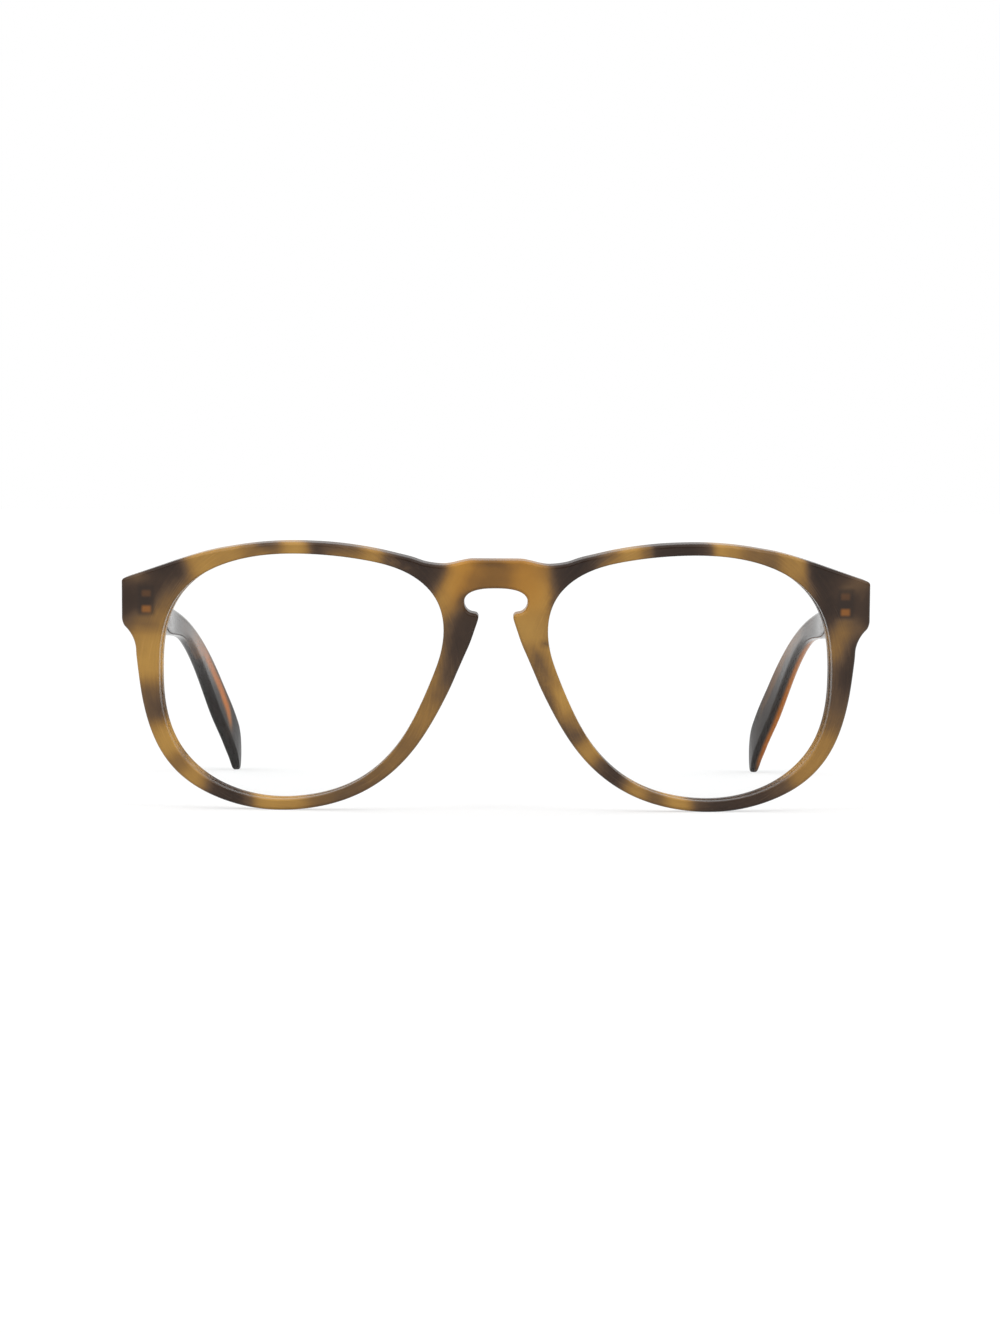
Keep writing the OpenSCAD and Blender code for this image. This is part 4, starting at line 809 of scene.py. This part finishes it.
def build_lens(name, mirror):
    """A lens bulged to the front, with a bevel that sits in the groove."""
    angles = np.arange(0, 360, 2.0)
    p, out = opening(angles), opening_out(angles)
    edge, bevel = p - LENS_CLEAR * out, p + (GROOVE_D - 1.5 * LENS_CLEAR) * out
    mid, half = FRONT_T / 2, LENS_T / 2
    shares = np.linspace(0, 1, 15)[1:]
    rows = [wrap(lens_c + f * (edge - lens_c), mid - half - LENS_BULGE * (1 - f * f)) for f in shares]
    rows.append(wrap(bevel, np.full(len(angles), mid)))
    rows += [wrap(lens_c + f * (edge - lens_c), mid + half - LENS_BULGE * (1 - f * f)) for f in shares[::-1]]
    poles = [wrap(lens_c, mid - half - LENS_BULGE), wrap(lens_c, mid + half - LENS_BULGE)]
    points = stand(np.concatenate([np.concatenate(rows), poles])) * [mirror, 1, 1]
    n = len(angles)
    index, faces = tube(len(rows), n)
    front, back = index.size, index.size + 1
    faces += [[front, (i + 1) % n, i] for i in range(n)]
    faces += [[back, index[-1][i], index[-1][(i + 1) % n]] for i in range(n)]
    made = make_mesh(name + "_sheet", points, turn_for(mirror, faces))
    soften(made, 25)
    return made


# Materials

def srgb(r, g, b):
    """A colour written in the 0 to 255 numbers of a screen, as Blender's linear one."""
    c = np.array([r, g, b]) / 255
    return (*np.where(c <= 0.04045, c / 12.92, ((c + 0.055) / 1.055) ** 2.4), 1.0)


class Nodes:
    """A short way to write the nodes of a material or of the world."""

    def __init__(self, owner, shader):
        owner.use_nodes = True
        self.owner, self.tree = owner, owner.node_tree
        self.shader = self.tree.nodes[shader].inputs

    def set(self, target, value):
        """Links a socket to the target, or writes any other value on it."""
        if isinstance(value, bpy.types.NodeSocket):
            self.tree.links.new(value, target)
        else:
            target.default_value = value

    def shade(self, **values):
        """Sets inputs of the shader, with _ in the place of each space."""
        for key, value in values.items():
            self.set(self.shader[key.replace("_", " ")], value)

    def add(self, kind, inputs=(), **settings):
        """A node with its inputs set in their order."""
        made = self.tree.nodes.new(kind)
        for key, value in settings.items():
            setattr(made, key, value)
        for i, value in enumerate(inputs):
            self.set(made.inputs[i], value)
        return made

    def math(self, operation, *values):
        return self.add("ShaderNodeMath", values, operation=operation).outputs[0]

    def product(self, *values):
        total = values[0]
        for value in values[1:]:
            total = self.math("MULTIPLY", total, value)
        return total

    def value_of(self, name):
        """A number stored on the mesh."""
        return self.add("ShaderNodeAttribute", attribute_name=name).outputs["Fac"]

    def place(self):
        """Each point's place in its piece, in metres."""
        return self.add("ShaderNodeTexCoord").outputs["Object"]

    def named(self, kind, **values):
        """A node with its inputs set by their names."""
        made = self.tree.nodes.new(kind)
        for key, value in values.items():
            self.set(made.inputs[key], value)
        return made.outputs

    def noise(self, vector, scale, detail, roughness):
        settings = {"Vector": vector, "Scale": scale, "Detail": detail, "Roughness": roughness}
        return self.named("ShaderNodeTexNoise", **settings)["Fac"]

    def spread(self, value, low, high, to_low=0.0, to_high=1.0):
        """A smooth step from low to high."""
        inputs = (value, low, high, to_low, to_high)
        return self.add("ShaderNodeMapRange", inputs, interpolation_type="SMOOTHSTEP").outputs[0]

    def mix(self, factor, a, b, blend="MIX"):
        made = self.add("ShaderNodeMix", data_type="RGBA", blend_type=blend)
        for key, value in ((0, factor), (6, a), (7, b)):
            self.set(made.inputs[key], value)
        return made.outputs[2]

    def ramp(self, value, stops):
        made = self.add("ShaderNodeValToRGB", (value,))
        marks = made.color_ramp.elements
        while len(marks) < len(stops):
            marks.new(0.5)
        for mark, (place, colour) in zip(marks, stops):
            mark.position, mark.color = place, colour
        return made.outputs[0]

    def bump(self, height, strength, distance):
        """Relief on the shader from a height."""
        made = self.named("ShaderNodeBump", Strength=strength, Distance=distance, Height=height)
        self.shade(Normal=made["Normal"])


def material_nodes(name):
    """A new material, with a short way to write its nodes."""
    return Nodes(bpy.data.materials.new(name), "Principled BSDF")


def box_mask(n, x, z, centre, half, blur):
    """1 inside a soft-edged rectangle, in millimetres, of the coordinates x and z, in metres."""
    parts = []
    for value, c, h in ((x, centre[0], half[0]), (z, centre[1], half[1])):
        off = n.math("ABSOLUTE", n.math("SUBTRACT", value, c * MM))
        parts.append(n.spread(off, (h + blur) * MM, (h - blur) * MM))
    return n.product(*parts)


# Roughness and level of reflection: the front and pads are satin, the temples polished and worn at the rear
SATIN, POLISHED, WORN = 0.26, 0.13, 0.34
SHEEN, WORN_SHEEN = 0.27, 0.03
ACETATE_IOR = 1.49
# Cloudiness and polishing streaks: how fine they are, and how much they change the tone and the roughness
MOTTLE_SCALE, MOTTLE = 260.0, 0.16
STREAK_SCALE, STREAK_ALONG, STREAK_TURNS, STREAK, STREAK_ROUGH = 2600.0, 90.0, 4.0, 0.2, 0.1
# The streaks round a lens fade between these radii to this share
STREAK_RIM, STREAK_FAR = (34 * MM, 30 * MM), 0.03
# The bridge's warmer shade: centre, half size, blur, strength and tint
BRIDGE_SHADE = (0.0, 46.5), (9.5, 7.5), 4.0, 0.8, (1.12, 0.94, 0.55, 1.0)
# The hinge anchor seen through the acetate, and its two windows: centre, half size, blur, strength and colour
ANCHOR_MARKS = [
    [(66.9, 40.1), (1.6, 2.8), 0.5, 0.6, srgb(50, 38, 31)],
    [(66.85, 41.4), (0.85, 0.6), 0.36, 0.4, srgb(128, 84, 46)],
    [(66.85, 38.4), (0.85, 0.62), 0.36, 0.7, srgb(170, 108, 48)],
]


def rim_streaks(n, split):
    """Fine streaks round each lens, which fade out on the end pieces and the bridge."""
    dx = n.math("SUBTRACT", n.math("ABSOLUTE", split[0]), float(lens_c[0]) * MM)
    dz = n.math("SUBTRACT", split[2], float(lens_c[1]) * MM)
    radius = n.math("SQRT", n.math("ADD", n.product(dx, dx), n.product(dz, dz)))
    turns = n.product(n.math("ARCTAN2", dz, dx), STREAK_TURNS)
    way = n.add("ShaderNodeCombineXYZ", (n.product(radius, STREAK_SCALE), turns, 0.0)).outputs[0]
    streak = n.math("SUBTRACT", n.noise(way, 1.0, 2.0, 0.6), 0.5)
    return n.product(streak, n.spread(radius, *STREAK_RIM, STREAK_FAR, 1.0))


def long_streaks(n, place):
    """Fine streaks along a temple."""
    way = n.add("ShaderNodeMapping", (place,))
    way.inputs["Scale"].default_value = (STREAK_SCALE, STREAK_ALONG, STREAK_SCALE)
    return n.math("SUBTRACT", n.noise(way.outputs[0], 1.0, 2.0, 0.6), 0.5)


def front_marks(n, split, colour):
    """The front's own marks: the warmer bridge, and the anchors behind the acetate."""
    side = n.math("ABSOLUTE", split[0])
    centre, half, blur, strength, tint = BRIDGE_SHADE
    bridge = n.product(box_mask(n, side, split[2], centre, half, blur), strength)
    colour = n.mix(bridge, colour, n.mix(1.0, colour, tint, "MULTIPLY"))
    # The anchors show in the front part of the sheet only
    shallow = n.spread(n.value_of("depth"), 0.4, 0.15)
    for centre, half, blur, strength, shade in ANCHOR_MARKS:
        mark = n.product(box_mask(n, side, split[2], centre, half, blur), shallow, strength)
        colour = n.mix(mark, colour, shade)
    return colour


def acetate(name, stops, kind):
    """Tortoise acetate: the painted tone, mottled and finely streaked, for a front, pad or temple."""
    n = material_nodes(name)
    place = n.place()
    split = n.add("ShaderNodeSeparateXYZ", (place,)).outputs
    mottle = n.math("SUBTRACT", n.noise(place, MOTTLE_SCALE, 3.0, 0.55), 0.5)
    streak = long_streaks(n, place) if kind == "temple" else rim_streaks(n, split)
    tone = n.math("ADD", n.value_of("tone"), n.product(mottle, MOTTLE))
    colour = n.ramp(n.math("ADD", tone, n.product(streak, STREAK)), stops)
    if kind == "front":
        colour = front_marks(n, split, colour)
    roughness, sheen = SATIN, SHEEN
    if kind == "temple":
        along = n.value_of("along")
        roughness = n.spread(along, 0.6, 0.84, POLISHED, WORN)
        sheen = n.spread(along, 0.6, 0.82, SHEEN, WORN_SHEEN)
    rough = n.math("ADD", roughness, n.product(streak, STREAK_ROUGH))
    n.shade(Base_Color=colour, Roughness=rough, IOR=ACETATE_IOR, Specular_IOR_Level=sheen)
    n.bump(streak, 0.12, 0.03 * MM)
    return n.owner


FRONT_STOPS = [
    (0.0, srgb(46, 32, 24)), (0.2, srgb(69, 51, 38)), (0.38, srgb(101, 77, 54)), (0.5, srgb(121, 91, 56)),
    (0.75, srgb(162, 121, 63)), (1.0, srgb(194, 148, 74)),
]
TEMPLE_STOPS = [
    (0.0, srgb(26, 22, 20)), (0.25, srgb(58, 45, 37)), (0.55, srgb(124, 84, 44)), (0.85, srgb(200, 112, 32)),
    (1.0, srgb(216, 128, 38)),
]


def metal(name, colour, roughness):
    """Plated metal with faint turning marks."""
    n = material_nodes(name)
    place = n.place()
    grain, cloud = n.noise(place, 1800.0, 3.0, 0.6), n.noise(place, 300.0, 2.0, 0.5)
    dark = tuple(0.72 * c for c in colour[:3]) + (1.0,)
    rough = n.math("ADD", roughness, n.product(n.math("SUBTRACT", grain, 0.5), 0.2))
    n.shade(Base_Color=n.mix(cloud, dark, colour), Roughness=rough, Metallic=1.0)
    n.bump(grain, 0.2, 0.02 * MM)
    return n.owner


def clear_sheet(name):
    """A clear lens: it bends no light, and little but its coat's reflections shows."""
    n = material_nodes(name)
    haze = n.noise(n.place(), 120.0, 2.0, 0.5)
    n.shade(
        Base_Color=srgb(246, 249, 249), Roughness=n.spread(haze, 0.3, 0.7, 0.02, 0.05), IOR=1.0,
        Transmission_Weight=1.0, Coat_Weight=1.0, Coat_IOR=1.5, Alpha=0.3,
    )
    return n.owner


def paint(piece, material):
    """Gives the piece this material alone."""
    piece.data.materials.clear()
    piece.data.materials.append(material)


front_look = acetate("satin_tortoise", FRONT_STOPS, "front")
pad_look = acetate("pad_tortoise", FRONT_STOPS, "pad")
temple_look = acetate("dark_tortoise", TEMPLE_STOPS, "temple")
hinge_look = metal("plated_metal", srgb(206, 203, 198), 0.3)
wire_look = metal("core_metal", srgb(178, 176, 172), 0.42)
lens_look = clear_sheet("clear_lens")

# Pieces

front = build_front()
paint(front, front_look)
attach(front, "front")
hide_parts("front_frame")

for side, mirror in (("left", 1), ("right", -1)):
    temple = build_temple("temple_" + side, mirror)
    paint(temple, temple_look)
    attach(temple, "temple_" + side)
    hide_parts("temple_" + side)

    pad = build_pad("nose_pad_" + side, mirror)
    paint(pad, pad_look)
    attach(pad, "front")
    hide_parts("nose_pad_" + side)

    lens = build_lens("lens_" + side, mirror)
    paint(lens, lens_look)
    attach(lens, "front")
    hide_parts("lens_" + side)
    # A clear lens casts next to no shadow
    lens.visible_shadow = False

    for part in ("front_hinge_", "temple_hinge_", "hinge_screw_"):
        node = frame["nodes"][part + side]
        node.material_slots[0].material = hinge_look
        bevel = node.modifiers.new("worn_edges", "BEVEL")
        bevel.width, bevel.segments, bevel.limit_method = WORN_EDGE * MM, 2, "ANGLE"
        bevel.harden_normals = True
    frame["nodes"]["core_wire_" + side].material_slots[0].material = wire_look

# Floor, light and camera

bpy.ops.mesh.primitive_plane_add(size=12.0, location=(0, 3.0, 0))
floor = bpy.context.object
floor.name = "floor"
ground = material_nodes("pale_floor")
path = ground.add("ShaderNodeLightPath").outputs
seen = ground.math("MAXIMUM", path["Is Camera Ray"], path["Is Glossy Ray"])
seen = ground.math("MAXIMUM", seen, path["Is Transmission Ray"])
ground.shade(
    Base_Color=(0.4, 0.4, 0.4, 1), Roughness=0.8, Specular_IOR_Level=0.0,
    Emission_Color=(1, 1, 1, 1), Emission_Strength=ground.product(seen, 0.6),
)
floor.data.materials.append(ground.owner)

# The room: light all round, and in reflections white behind the glasses and above them, dim elsewhere
NEAR, FAR, DIM = 0.75, 0.95, 0.16
world = bpy.data.worlds.new("studio")
bpy.context.scene.world = world
room = Nodes(world, "Background")
way = room.add("ShaderNodeTexCoord").outputs["Generated"]
split = room.add("ShaderNodeSeparateXYZ", (way,)).outputs
path = room.add("ShaderNodeLightPath").outputs
level = room.spread(split[1], -0.95, -0.1, NEAR, FAR)
behind, above = room.spread(split[1], 0.86, 0.97, DIM, 1.0), room.spread(split[2], 0.45, 0.9, DIM, 1.0)
change = room.math("SUBTRACT", room.math("MAXIMUM", behind, above), level)
level = room.math("MULTIPLY_ADD", change, path["Is Glossy Ray"], level)
level = room.math("MAXIMUM", level, path["Is Camera Ray"])
level = room.math("MAXIMUM", level, path["Is Transmission Ray"])
room.shade(Color=(1, 1, 1, 1), Strength=level)


def soft_sun(name, way, strength, spread):
    """A wide, soft lamp that shines along the direction way, with the same strength everywhere."""
    light = bpy.data.lights.new(name, "SUN")
    light.energy, light.angle = strength, math.radians(spread)
    lamp = bpy.data.objects.new(name, light)
    lamp.location = -0.5 * Vector(way)
    lamp.rotation_euler = Vector(way).to_track_quat("-Z", "Y").to_euler()
    bpy.context.scene.collection.objects.link(lamp)


for name, across in (("key_left", 0.6), ("key_right", -0.6)):
    soft_sun(name, (across, 0.7, -0.8), strength=0.55, spread=40)

# The photograph's camera, fitted to the front: its focal length and long side in pixels, place and turns
FOCAL_PX, LONG_SIDE_PX, SENSOR = 4951.8, 1333.0, 36.0
CAMERA_AT = (0.0, -1.0111, 0.0632)
TILT_DOWN, TURN, ROLL = 2.146, -0.051, 0.3
camera_data = bpy.data.cameras.new("camera")
camera_data.sensor_width = SENSOR
camera_data.lens = FOCAL_PX / LONG_SIDE_PX * SENSOR
camera_data.clip_start, camera_data.clip_end = 0.05, 20.0
camera = bpy.data.objects.new("camera", camera_data)
camera.location = CAMERA_AT
look = Euler((math.radians(90 - TILT_DOWN), 0.0, math.radians(TURN))).to_matrix()
camera.rotation_euler = (look @ Matrix.Rotation(math.radians(ROLL), 3, "Z")).to_euler()
bpy.context.scene.collection.objects.link(camera)
bpy.context.scene.camera = camera
bpy.context.scene.view_settings.view_transform = "Standard"
